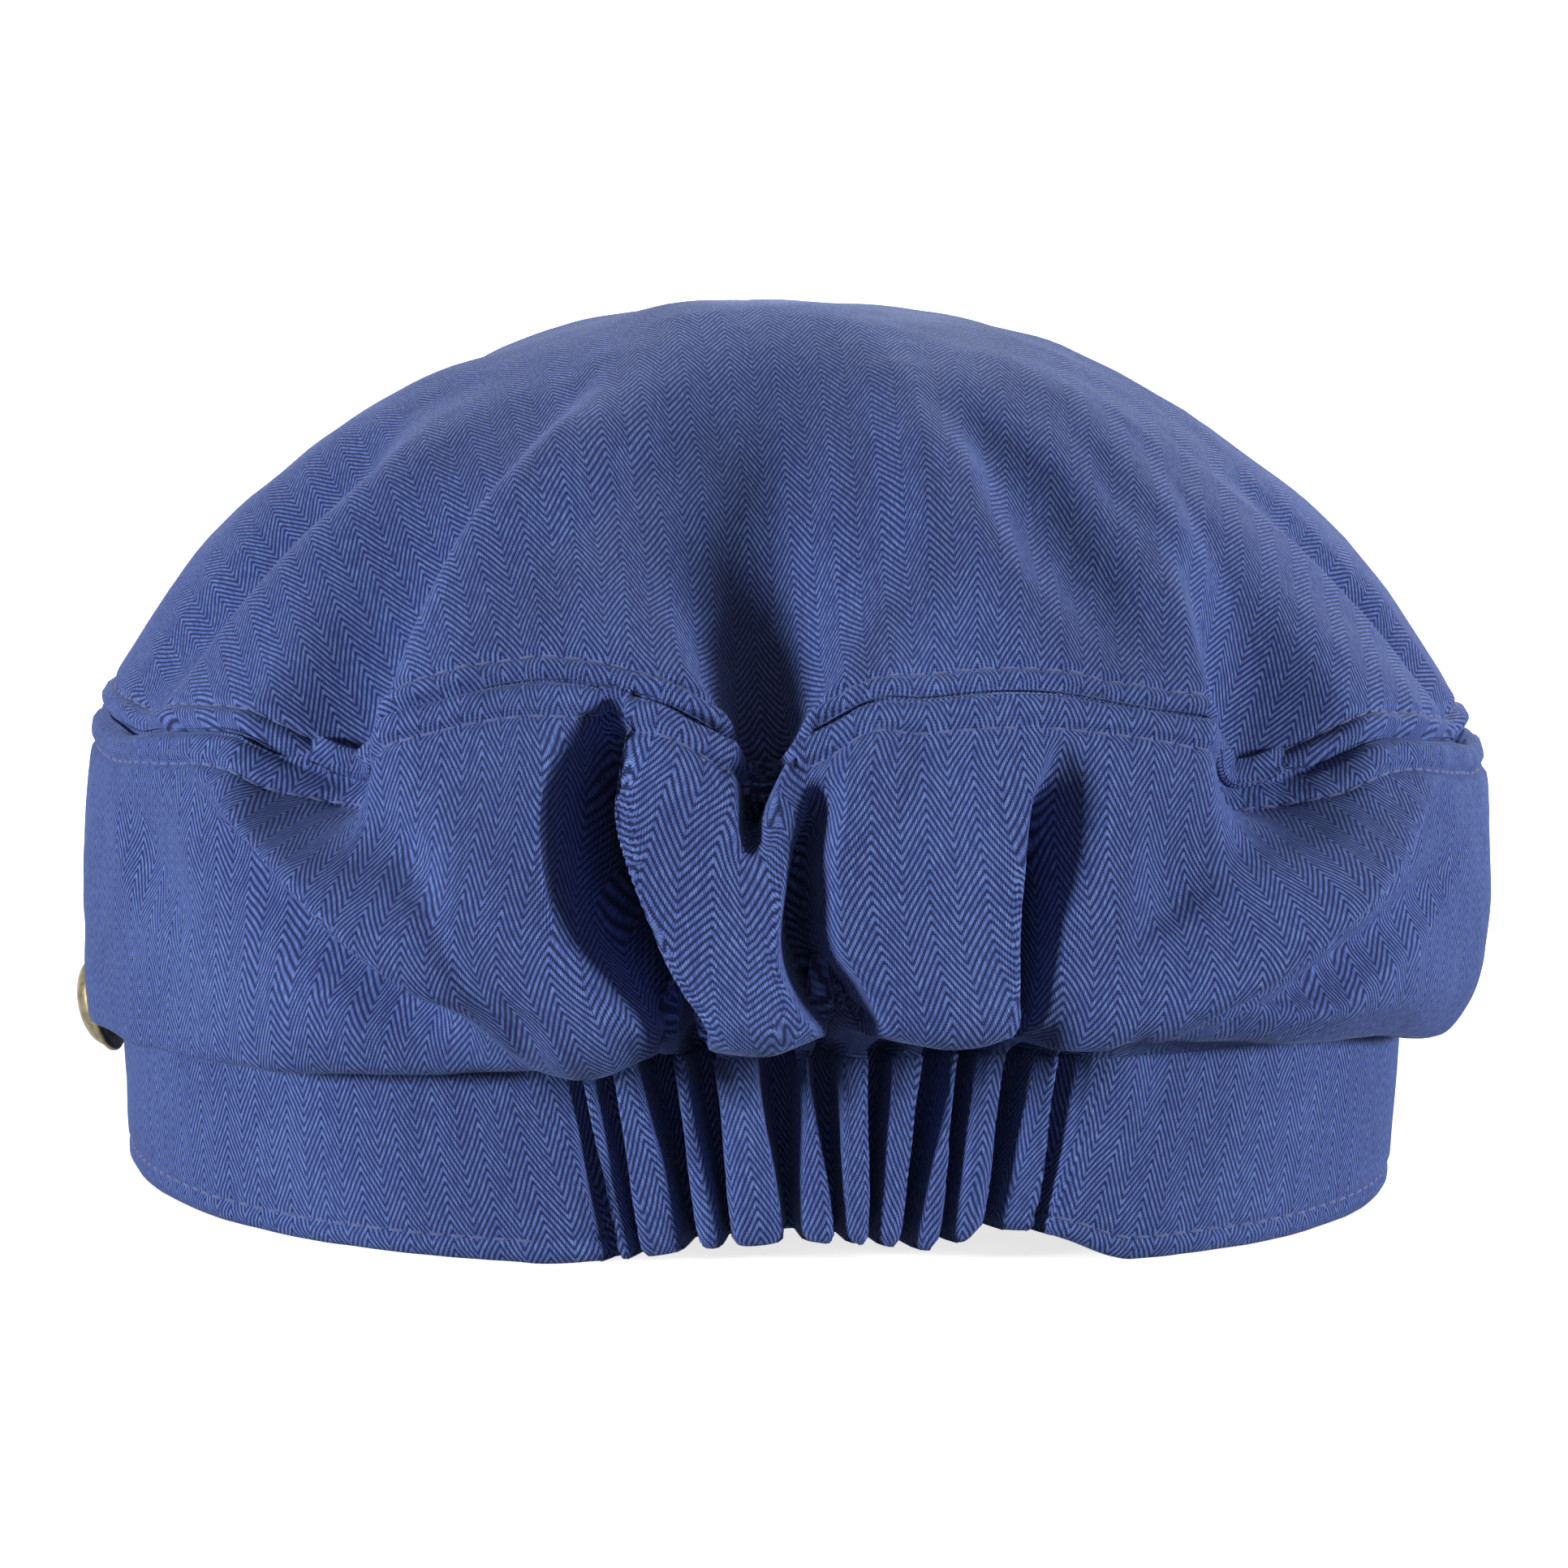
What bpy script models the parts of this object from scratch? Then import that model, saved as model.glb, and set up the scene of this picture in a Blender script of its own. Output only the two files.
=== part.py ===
"""A soft cotton skipper cap, seen best from behind.

An oval headband is gathered by elastic at the back. A side wall swells out over it
and falls in deep folds there, and an oval top panel closes the crown. A stiff peak is
sewn under the front of the band, with a strap above it that runs from button to button.

Directions: the back of the cap is at -Y and the peak at +Y. An angle is measured round
the head from the back, in degrees, positive towards +X. A level runs up the crown: 0 at
the band seam, 1 at the top seam and 2 at the middle of the top panel.
"""
import math

import bmesh
import bpy
import numpy as np
from mathutils import Matrix, Vector

MM = 0.001

# Headband
BAND_SIDE = 90.5 * MM
BAND_BACK = 86.0 * MM
BAND_FRONT = 98.0 * MM
BAND_HEIGHT = 25.0 * MM
BAND_WALL = 2.2 * MM
BAND_TAPER = 1.5 * MM
FRONT_LIFT = 15.0 * MM
FRONT_LIFT_STARTS = 0.15
SIDE_LIFT = 1.0 * MM
SIDE_LIFT_STARTS = 0.75
OVAL_POWER = 2.2

# Gathered part of the band, drawn in by elastic
GATHER_ANGLE = 21.0
GATHER_EASE = 4.0
GATHER_RECESS = 3.5 * MM
GATHER_LIFT = 1.5 * MM
PLEAT_DEPTH = 6.5 * MM
PLEAT_FADE = 0.16

# Crown
CROWN_OVER_SIDE = 8.5 * MM
CROWN_OVER_BACK = 15.0 * MM
CROWN_OVER_FRONT = 16.0 * MM
CROWN_LEAN = 2.4 * MM
LEAN_LEVEL = 0.3
WALL_BACK = 49.0 * MM
WALL_SIDE = 38.0 * MM
WALL_FRONT = 46.0 * MM
DOME_RISE = 48.5 * MM
DOME_POWER = 2.35
CLOTH = 1.6 * MM
FOLD_DEPTH = 24.0 * MM

# Peak, strap and buttons
PEAK_DEPTH = 52.0 * MM
PEAK_ROOT = 3.0 * MM
PEAK_THICK = 4.0 * MM
PEAK_ANGLE = 62.0
STRAP_WIDTH = 9.0 * MM
STRAP_THICK = 1.8 * MM
STRAP_RISE = 17.0 * MM
STRAP_ANGLE = 106.0
STRAP_TAIL = 5.0
BUTTON_RADIUS = 7.5 * MM
BUTTON_DOME = 3.4 * MM
BUTTON_RIM = 0.9 * MM
SHANK_RADIUS = 2.0 * MM
SHANK_LENGTH = 1.9 * MM
BUTTON_TILT = 12.0

GAP = 0.3 * MM

# Side section of the crown, from the band seam up to the top seam. Its first stretch
# lies over the band's top edge, which is TUCK of a level.
# Columns: level, way out as a share of the overhang, way up as a share of the wall height
SECTION = np.array((
    (0.00, 0.00, 0.00),
    (0.02, 0.03, 0.00),
    (0.06, 0.34, -0.05),
    (0.10, 0.60, -0.06),
    (0.18, 0.84, 0.03),
    (0.35, 0.97, 0.22),
    (0.60, 1.00, 0.52),
    (0.82, 0.90, 0.80),
    (1.00, 0.74, 1.00),
))

TUCK = 0.02

# Folds, lobes and dents of the crown, each following a path down it.
# Columns: level at its top, its deepest point and its low end; angle at each of these;
# width to the left and to the right in degrees; how much wider it is at the top and at
# the low end; depth as a share of FOLD_DEPTH, negative where it stands out;
# how far its right crest, or its left one if negative, hangs over it as a share of width
FOLDS = (
    # back valley of the top panel, and the notch that it ends in
    (1.80, 0.93, 0.60, -7.5, -6.4, -7.2, 4.0, 3.2, 2.6, 0.7, 0.90, 0.0),
    (1.45, 1.05, 0.80, -7.5, -7.0, -6.6, 9.0, 9.0, 0.9, 0.5, 0.22, 0.0),
    # three deep folds below the top seam
    (0.99, 0.58, 0.03, -20.5, -18.0, -9.8, 5.4, 3.2, 0.7, 0.6, 1.00, 0.6),
    (0.84, 0.55, 0.03, -3.4, -3.0, 0.4, 1.7, 2.6, 0.7, 1.0, 0.60, -0.4),
    (0.86, 0.58, 0.03, 16.3, 13.7, 14.2, 2.0, 3.6, 0.8, 0.7, 0.70, -0.5),
    # pinches where the top seam buckles
    (1.60, 0.95, 0.64, -46.0, -47.5, -43.5, 9.0, 5.5, 1.0, 0.4, 0.38, 0.5),
    (1.28, 0.93, 0.57, 43.5, 39.0, 35.5, 9.0, 14.0, 0.3, 0.2, 0.40, -0.4),
    # long ridges that run down to the gathers, with the dips below them
    (0.92, 0.45, 0.08, -58.0, -34.0, -19.0, 7.0, 8.0, 1.0, 0.6, -0.13, 0.0),
    (0.86, 0.50, 0.12, -34.0, -26.0, -18.0, 4.0, 5.0, 1.0, 0.7, -0.12, 0.0),
    (0.90, 0.50, 0.10, 57.0, 33.5, 19.0, 8.0, 7.0, 1.0, 0.6, -0.13, 0.0),
    (0.80, 0.36, 0.06, -50.0, -33.0, -23.0, 6.0, 6.0, 1.0, 0.6, 0.12, 0.0),
    (0.78, 0.36, 0.06, 62.0, 38.0, 24.0, 7.0, 7.0, 1.0, 0.6, 0.13, 0.0),
    # soft dents of the top panel, and the full lobes at its sides
    (1.55, 1.18, 0.95, 19.0, 22.5, 23.0, 9.0, 8.0, 1.0, 0.8, 0.11, 0.0),
    (1.60, 1.20, 0.90, -70.0, -70.0, -74.0, 6.0, 8.0, 1.0, 1.0, 0.16, 0.0),
    (1.45, 1.10, 0.85, 60.0, 71.0, 74.0, 8.0, 7.0, 1.0, 1.0, 0.16, 0.0),
    (1.75, 1.28, 0.95, -88.0, -90.0, -92.0, 18.0, 16.0, 1.0, 1.0, -0.13, 0.0),
    (1.70, 1.22, 0.95, 88.0, 90.0, 92.0, 16.0, 18.0, 1.0, 1.0, -0.06, 0.0),
    # tongues of cloth that hang over the gathers between the folds
    (0.30, 0.09, 0.00, 0.0, 0.0, 0.0, 26.0, 26.0, 1.0, 1.0, 0.20, 0.0),
    (0.60, 0.22, 0.03, -17.0, -16.4, -16.0, 5.0, 4.0, 1.0, 1.0, -0.12, 0.0),
    (0.60, 0.22, 0.03, -6.5, -5.4, -5.0, 4.5, 4.0, 1.0, 1.0, -0.13, 0.0),
    (0.60, 0.22, 0.03, 6.5, 7.4, 7.5, 5.0, 5.0, 1.0, 1.0, -0.13, 0.0),
    (0.50, 0.20, 0.03, 18.5, 18.2, 18.0, 3.5, 3.5, 1.0, 1.0, -0.08, 0.0),
    # cloth held off the two buttons
    (0.42, 0.14, 0.01, -106.0, -106.0, -106.0, 13.0, 13.0, 1.0, 1.0, 0.30, 0.0),
    (0.42, 0.14, 0.01, 106.0, 106.0, 106.0, 13.0, 13.0, 1.0, 1.0, 0.30, 0.0),
)

# Where the top seam sags into the notch: its angle, how far each side of it the sag
# reaches in degrees, and the levels at which it starts, is full, starts to end and is gone
NOTCH_SAG = 13.5 * MM
NOTCH_ANGLE = -6.8
NOTCH_REACH = 10.0
NOTCH_LEVELS = (0.58, 0.94, 1.02, 1.64)

# Pleats of the gathered band.
# Columns: angle at the top and at the hem, half width in degrees, depth as a share
PLEATS = (
    (-21.6, -17.5, 1.1, 0.35),
    (-19.0, -15.4, 1.1, 0.45),
    (-14.7, -10.6, 1.7, 1.00),
    (-10.5, -7.1, 1.5, 0.85),
    (-2.9, -1.2, 2.0, 1.00),
    (1.6, 3.3, 1.8, 0.75),
    (6.8, 6.4, 1.3, 0.90),
    (12.2, 9.6, 1.6, 1.00),
    (16.0, 13.2, 1.4, 0.80),
    (20.3, 17.6, 1.6, 0.95),
    (23.4, 21.4, 1.1, 0.35),
)

# How the columns of the cloth grids lean with the folds, in degrees
HEM_SHIFT = 1.0
HEM_CLOSING = 0.22
FOLD_SHIFT = -8.2
FOLD_FOOT = -9.8
FOLD_SPREAD = 20.0
FOLD_LEVEL = 0.58
HEM_TURN_ENDS = 40.0
HEM_TURN_EASE = 16.0

# Columns and rows of the cloth grids: end angle or level of each stretch, and its count
COLUMN_STRETCHES = ((-70.0, 12), (-24.0, 16), (24.0, 44), (70.0, 16), (180.0, 12))
SIDE_ROWS = (0.0, TUCK, 0.06, 0.11, 0.2, 0.33, 0.45, 0.57, 0.69, 0.80, 0.91)
TOP_ROWS = (1.05, 1.13, 1.24, 1.38, 1.55, 1.75, 2.0)
BAND_ROWS = (0.0, 0.25, 0.5, 0.75, 1.0)
PEAK_ROWS = (0.0, 0.1, 0.4, 0.7, 0.93, 1.0)
STRAP_ROWS = (0.0, 0.5, 1.0)

# Level from which the crown's outward direction eases to straight up
POLE_EASE = 1.85

# The reach of the cap each way, which puts its middle over the origin
STAND_OUT = GAP + STRAP_THICK + GAP + SHANK_LENGTH + BUTTON_RIM + BUTTON_DOME
STRAP_TURN = math.radians(STRAP_ANGLE)
BUTTON_REACH = (BAND_SIDE + STAND_OUT) * math.sin(STRAP_TURN) + BUTTON_RADIUS * abs(math.cos(STRAP_TURN))
LEFT_REACH = max(BUTTON_REACH, BAND_SIDE + CROWN_OVER_SIDE - CROWN_LEAN)
RIGHT_REACH = max(BUTTON_REACH, BAND_SIDE + CROWN_OVER_SIDE + CROWN_LEAN)
BACK_REACH = BAND_BACK + CROWN_OVER_BACK
FRONT_REACH = BAND_FRONT - BAND_TAPER + PEAK_DEPTH
HEAD_X = (LEFT_REACH - RIGHT_REACH) / 2
HEAD_Y = (BACK_REACH - FRONT_REACH) / 2


def smooth(share):
    """Ease from 0 to 1 without a kink at either end."""
    share = np.clip(share, 0.0, 1.0)
    return share * share * (3.0 - 2.0 * share)


def hump(offset):
    """A smooth hump, 1 at 0 and gone at -1 and 1."""
    return np.clip(1.0 - offset * offset, 0.0, 1.0) ** 2


def oval(angle, side, back, front):
    """Radius of the head's oval in one direction."""
    across = np.abs(np.sin(angle)) / side
    along = np.cos(angle) / np.where(np.cos(angle) > 0.0, back, front)
    return (across ** OVAL_POWER + np.abs(along) ** OVAL_POWER) ** (-1.0 / OVAL_POWER)


def around(angle, back, side, front):
    """A value that changes smoothly from the back over the sides to the front."""
    along = np.cos(angle)
    return side + (np.where(along > 0.0, back, front) - side) * along ** 2


def rim_height(angle):
    """Height of the band's lower edge: flat behind, a little up at the sides, lifted over the peak.

    The lifts start where the cosine of the angle falls to the two named shares."""
    sides = SIDE_LIFT * smooth((SIDE_LIFT_STARTS - np.cos(angle)) / SIDE_LIFT_STARTS)
    ahead = (-np.cos(angle) - FRONT_LIFT_STARTS) / (1.0 - FRONT_LIFT_STARTS)
    return sides + FRONT_LIFT * smooth(ahead)


def gathered(degrees):
    """1 inside the elastic part of the band and 0 outside it."""
    return smooth((GATHER_ANGLE + GATHER_EASE - np.abs(degrees)) / (2.0 * GATHER_EASE))


def band_drift(angle, height):
    """Turn the band's columns so that they run down the pleats, which close up at the hem."""
    degrees = np.degrees(angle)
    inside = smooth((HEM_TURN_ENDS - np.abs(degrees)) / HEM_TURN_EASE)
    return angle + np.radians((HEM_SHIFT - HEM_CLOSING * degrees) * (1.0 - height) * inside)


def crown_drift(angle, level):
    """Turn the crown's columns so that they run up the widest fold."""
    near = hump((np.degrees(angle) - FOLD_FOOT) / FOLD_SPREAD)
    return angle + np.radians(FOLD_SHIFT * near * smooth(level / FOLD_LEVEL))


def pleat_depth(degrees, height):
    """How far the pleats draw the band in, at a share of its height."""
    depth = GATHER_RECESS * gathered(degrees)
    for top_angle, hem_angle, half_width, share in PLEATS:
        centre = hem_angle + (top_angle - hem_angle) * height
        depth = depth + PLEAT_DEPTH * share * hump((degrees - centre) / half_width)
    return depth


def band_radius(angle, height):
    """Outer radius of the band at a share of its height."""
    plain = oval(angle, BAND_SIDE, BAND_BACK, BAND_FRONT) - BAND_TAPER * (1.0 - height)
    return plain - pleat_depth(np.degrees(angle), height)


def seam_radius(angle, level):
    """Radius of the crown's start at the band seam, whose pleats die out up the crown."""
    plain = oval(angle, BAND_SIDE, BAND_BACK, BAND_FRONT)
    return plain - pleat_depth(np.degrees(angle), 1.0) * (1.0 - smooth(level / PLEAT_FADE))


def from_round(angle, radius, height):
    """Points at an angle, a radius from the head's middle and a height."""
    return np.stack((HEAD_X + radius * np.sin(angle), HEAD_Y - radius * np.cos(angle), height), -1)


def band_outside(angle, height):
    """Outer face of the headband."""
    angle = band_drift(angle, height)
    lift = GATHER_LIFT * gathered(np.degrees(angle)) * (1.0 - height)
    up = rim_height(angle) + BAND_HEIGHT * height + lift
    return from_round(angle, band_radius(angle, height), up)


def section(level, column):
    """A column of the side section at any level, on a smooth curve through its rows."""
    levels, values = SECTION[:, 0], SECTION[:, column]
    slopes = np.gradient(values, levels)
    row = np.clip(np.searchsorted(levels, level) - 1, 0, len(levels) - 2)
    span = levels[row + 1] - levels[row]
    share = (level - levels[row]) / span
    ease = share * share * (3.0 - 2.0 * share)
    start_pull = share * (1.0 - share) ** 2 * span * slopes[row]
    end_pull = share * share * (1.0 - share) * span * slopes[row + 1]
    return values[row] * (1.0 - ease) + values[row + 1] * ease + start_pull - end_pull


def plain_crown(angle, level):
    """The crown before its folds: it swells over the band, then domes to the middle."""
    low = np.clip(level, 0.0, 1.0)
    way_in = np.clip(2.0 - level, 0.0, 1.0)
    out = section(low, 1)
    rise = section(low, 2)
    seam = seam_radius(angle, level)
    behind = BAND_BACK + CROWN_OVER_BACK
    ahead = BAND_FRONT + CROWN_OVER_FRONT
    full = oval(angle, BAND_SIDE + CROWN_OVER_SIDE, behind, ahead)
    band_top = rim_height(angle) + BAND_HEIGHT + GAP
    wall = around(angle, WALL_BACK, WALL_SIDE, WALL_FRONT)
    dome_top = BAND_HEIGHT + WALL_BACK + DOME_RISE
    tucked = BAND_WALL * (1.0 - smooth(low / TUCK))
    radius = (seam - tucked + (full - seam) * out) * np.where(level > 1.0, way_in, 1.0)
    domed = np.where(level > 1.0, 1.0 - way_in ** DOME_POWER, 0.0)
    height = band_top + wall * rise
    height = height + (dome_top - height) * domed
    points = from_round(angle, radius, height)
    points[..., 0] += CROWN_LEAN * smooth(level / LEAN_LEVEL)
    return points


def normals(surface, angle, level):
    """Outward directions of a surface over angle and level, by small steps."""
    turn = math.radians(0.6)
    step = 0.02
    middle = np.clip(np.where(np.abs(level - 1.0) < step, 1.0, level), step, 2.0 - 3.0 * step)
    sideways = surface(angle + turn, middle) - surface(angle - turn, middle)
    upwards = surface(angle, middle + step) - surface(angle, middle - step)
    out = np.cross(sideways, upwards)
    out = out / np.linalg.norm(out, axis=-1, keepdims=True)
    to_pole = smooth((level - POLE_EASE) / (2.0 - POLE_EASE))[..., None]
    out = out * (1.0 - to_pole) + np.array((0.0, 0.0, 1.0)) * to_pole
    return out / np.linalg.norm(out, axis=-1, keepdims=True)


def fold_path(level, levels, angles):
    """Angle of a fold at a level: a parabola through its three named points."""
    (top, deep, low), (at_top, at_deep, at_low) = levels, angles
    return (
        at_top * (level - deep) * (level - low) / ((top - deep) * (top - low))
        + at_deep * (level - top) * (level - low) / ((deep - top) * (deep - low))
        + at_low * (level - top) * (level - deep) / ((low - top) * (low - deep))
    )


def folds(degrees, level):
    """How deep the folds press the cloth in, and how far they turn it round the head."""
    press = np.zeros_like(degrees)
    turn = np.zeros_like(degrees)
    for top, deep, low, at_top, at_deep, at_low, left, right, top_flare, low_flare, depth, lean in FOLDS:
        above = (top - level) / (top - deep)
        below = (level - low) / (deep - low)
        fade = np.sin(np.clip(np.where(level > deep, above, below), 0.0, 1.0) * math.pi / 2) ** 2
        flare = np.where(level > deep, top_flare, low_flare)
        widen = 1.0 + (flare - 1.0) * (1.0 - fade)
        inside = np.clip(level, low, top)
        offset = degrees - fold_path(inside, (top, deep, low), (at_top, at_deep, at_low))
        width = np.where(offset < 0.0, left, right) * widen
        press = press + FOLD_DEPTH * depth * fade * hump(offset / width)
        side = right if lean > 0.0 else -left
        crest = side * widen
        turn = turn - abs(lean) * crest * fade * hump((offset - crest) / crest)
    return press, turn


def notch_sag(degrees, level):
    """How far the cloth sags at the notch, in a soft point."""
    starts, full, ends, gone = NOTCH_LEVELS
    aside = np.clip(1.0 - np.abs(degrees - NOTCH_ANGLE) / NOTCH_REACH, 0.0, 1.0) ** 2
    below = smooth((level - starts) / (full - starts))
    above = 1.0 - smooth((level - ends) / (gone - ends))
    return NOTCH_SAG * aside * below * above


def crown_outside(angle, level):
    """Outer face of the crown, with its folds."""
    angle = crown_drift(angle, level)
    press, turn = folds(np.degrees(angle), level)
    turned = angle + np.radians(turn)
    points = plain_crown(turned, level) - normals(plain_crown, turned, level) * press[..., None]
    points[..., 2] -= notch_sag(np.degrees(angle), level)
    return points


def crown_inside(angle, level):
    """Inner face of the crown, one cloth below the outer face."""
    return crown_outside(angle, level) - CLOTH * normals(crown_outside, angle, level)


def band_inside(angle, height):
    """Inner face of the headband, level with the outer face at hem and seam."""
    points = band_outside(angle, height)
    angle = band_drift(angle, height)
    return from_round(angle, band_radius(angle, height) - BAND_WALL, points[..., 2])


def peak_edge(angle):
    """Depth of the peak in one direction from the front, a crescent."""
    from_front = (180.0 - np.abs(np.degrees(angle))) / PEAK_ANGLE
    return PEAK_ROOT + (PEAK_DEPTH - PEAK_ROOT) * (1.0 - from_front ** 2)


def peak_top(angle, share):
    """Upper face of the peak, from under the band's rim out to its edge."""
    fall = (SIDE_LIFT + FRONT_LIFT - GAP - PEAK_THICK) / PEAK_DEPTH
    start = band_radius(angle, 0.0) - BAND_WALL
    reach = BAND_WALL * smooth(share / PEAK_ROWS[1]) + peak_edge(angle) * share
    height = rim_height(angle) - GAP - fall * peak_edge(angle) * share
    return from_round(angle, start + reach, height)


def peak_under(angle, share):
    """Lower face of the peak."""
    return peak_top(angle, share) - np.array((0.0, 0.0, PEAK_THICK))


def strap_face(angle, share, stand_off):
    """A face of the strap, at a distance from the band."""
    height = STRAP_RISE + STRAP_WIDTH * (share - 0.5)
    radius = band_radius(angle, height / BAND_HEIGHT) + stand_off
    return from_round(angle, radius, rim_height(angle) + height)


def strap_outside(angle, share):
    """Outer face of the strap."""
    return strap_face(angle, share, GAP + STRAP_THICK)


def strap_inside(angle, share):
    """Inner face of the strap, a gap from the band."""
    return strap_face(angle, share, GAP)


def columns():
    """Angles of the grid's columns round the whole head, closest at the folds."""
    angles = [-180.0]
    for end, count in COLUMN_STRETCHES:
        start = angles[-1]
        angles += [start + (end - start) * (index + 1) / count for index in range(round(count))]
    return angles


def finish(mesh_builder, name, color, roughness, metallic, collection):
    """Turn a bmesh into a named object with its own material."""
    mesh = bpy.data.meshes.new(name)
    mesh_builder.to_mesh(mesh)
    mesh_builder.free()
    mesh.shade_smooth()
    mesh.set_sharp_from_angle(angle=math.radians(50.0))
    material = bpy.data.materials.new(name)
    material.use_nodes = True
    shader = material.node_tree.nodes["Principled BSDF"]
    shader.inputs["Base Color"].default_value = (*color, 1.0)
    shader.inputs["Roughness"].default_value = roughness
    shader.inputs["Metallic"].default_value = metallic
    mesh.materials.append(material)
    thing = bpy.data.objects.new(name, mesh)
    collection.objects.link(thing)
    return thing


def wall(angles, rows, outside, inside):
    """A closed wall: a grid laid on the outer face, extruded to the inner face."""
    built = bmesh.new()
    bmesh.ops.create_grid(built, x_segments=len(angles) - 1, y_segments=len(rows) - 1, size=1.0)
    across = built.verts.layers.float.new("across")
    up = built.verts.layers.float.new("up")
    for corner in built.verts:
        corner[across] = math.radians(angles[round((corner.co.x + 1.0) / 2.0 * (len(angles) - 1))])
        corner[up] = rows[round((corner.co.y + 1.0) / 2.0 * (len(rows) - 1))]
    lay(built.verts[:], across, up, outside)
    bmesh.ops.remove_doubles(built, verts=built.verts[:], dist=1e-6)
    grown = bmesh.ops.extrude_face_region(built, geom=built.faces[:], use_keep_orig=True)
    lay([item for item in grown["geom"] if isinstance(item, bmesh.types.BMVert)], across, up, inside)
    bmesh.ops.recalc_face_normals(built, faces=built.faces[:])
    return built


def lay(corners, across, up, face):
    """Move grid corners onto a face given over angle and row."""
    angle = np.array([corner[across] for corner in corners])
    row = np.array([corner[up] for corner in corners])
    for corner, place in zip(corners, face(angle, row)):
        corner.co = Vector(place)


def crown_side():
    """The side wall of the crown, up to a gap short of the top seam."""
    rows = SIDE_ROWS + (1.0 - GAP / 2 / WALL_SIDE,)
    return wall(columns(), rows, crown_outside, crown_inside)


def crown_top():
    """The top panel, from a gap past the top seam to the middle of the crown."""
    half_gap = GAP / 2 / (DOME_RISE + CROWN_OVER_SIDE)
    return wall(columns(), (1.0 + half_gap,) + TOP_ROWS, crown_outside, crown_inside)


def headband():
    """The band, plain round the sides and pleated behind."""
    return wall(columns(), BAND_ROWS, band_outside, band_inside)


def peak():
    """The stiff peak under the front of the band."""
    angles = np.linspace(180.0 - PEAK_ANGLE, 180.0 + PEAK_ANGLE, num=25)
    return wall(angles, PEAK_ROWS, peak_top, peak_under)


def strap():
    """The strap across the front, from one button to the other."""
    angles = np.linspace(STRAP_ANGLE - STRAP_TAIL, 360.0 + STRAP_TAIL - STRAP_ANGLE, num=33)
    return wall(angles, STRAP_ROWS, strap_outside, strap_inside)


def button(side):
    """A domed button on its shank, on the strap's end at the left (-1) or right (1)."""
    built = bmesh.new()
    dome = [(math.cos(turn), math.sin(turn)) for turn in np.radians((0.0, 22.0, 45.0, 68.0, 90.0))]
    profile = [(0.0, -SHANK_LENGTH), (SHANK_RADIUS, -SHANK_LENGTH), (SHANK_RADIUS, 0.0), (BUTTON_RADIUS, 0.0)]
    profile += [(BUTTON_RADIUS * out, BUTTON_RIM + BUTTON_DOME * rise) for out, rise in dome]
    corners = [built.verts.new((out, 0.0, rise)) for out, rise in reversed(profile)]
    edges = [built.edges.new(pair) for pair in zip(corners, corners[1:])]
    bmesh.ops.spin(
        built, geom=corners + edges, cent=(0, 0, 0), axis=(0, 0, 1), angle=math.tau, steps=20, use_merge=True
    )
    bmesh.ops.remove_doubles(built, verts=built.verts[:], dist=1e-6)
    angle = np.array(math.radians(side * STRAP_ANGLE))
    seat = strap_face(angle, 0.5, GAP + STRAP_THICK + GAP + SHANK_LENGTH)
    lean = SHANK_RADIUS * math.sin(math.radians(BUTTON_TILT))
    outward = Vector((math.sin(angle), -math.cos(angle), 0.0))
    turn = Matrix.Rotation(angle, 4, "Z") @ Matrix.Rotation(math.radians(90.0 + BUTTON_TILT), 4, "X")
    built.transform(Matrix.Translation(Vector(seat) + outward * lean) @ turn)
    return built


def main():
    """Clear the scene and build every piece."""
    for thing in list(bpy.data.objects):
        bpy.data.objects.remove(thing)
    cap = bpy.data.collections.new("skipper_cap")
    bpy.context.scene.collection.children.link(cap)
    blue = (0.060, 0.085, 0.270)
    brass = (0.300, 0.260, 0.170)
    finish(headband(), "headband", blue, 0.9, 0.0, cap)
    finish(crown_side(), "crown_side", blue, 0.9, 0.0, cap)
    finish(crown_top(), "crown_top", blue, 0.9, 0.0, cap)
    finish(peak(), "peak", blue, 0.85, 0.0, cap)
    finish(strap(), "strap", blue, 0.85, 0.0, cap)
    finish(button(-1), "side_button_left", brass, 0.4, 1.0, cap)
    finish(button(1), "side_button_right", brass, 0.4, 1.0, cap)


main()
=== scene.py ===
import math

import bmesh
import bpy
import numpy as np
from mathutils import Matrix, Quaternion, Vector, noise

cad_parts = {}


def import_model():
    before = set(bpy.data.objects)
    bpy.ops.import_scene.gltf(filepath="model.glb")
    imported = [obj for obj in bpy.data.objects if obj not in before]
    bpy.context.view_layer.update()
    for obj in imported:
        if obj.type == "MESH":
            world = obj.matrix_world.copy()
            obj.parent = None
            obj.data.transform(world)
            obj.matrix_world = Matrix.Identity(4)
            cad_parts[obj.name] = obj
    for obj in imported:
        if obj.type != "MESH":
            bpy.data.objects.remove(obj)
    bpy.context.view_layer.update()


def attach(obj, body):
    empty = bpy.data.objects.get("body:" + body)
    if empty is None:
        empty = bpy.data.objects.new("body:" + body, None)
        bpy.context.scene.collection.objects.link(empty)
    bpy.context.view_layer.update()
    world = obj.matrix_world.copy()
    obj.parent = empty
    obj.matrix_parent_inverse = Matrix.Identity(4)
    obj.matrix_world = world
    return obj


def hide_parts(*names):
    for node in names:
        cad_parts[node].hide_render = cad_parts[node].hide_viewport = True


MM = 0.001

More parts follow.
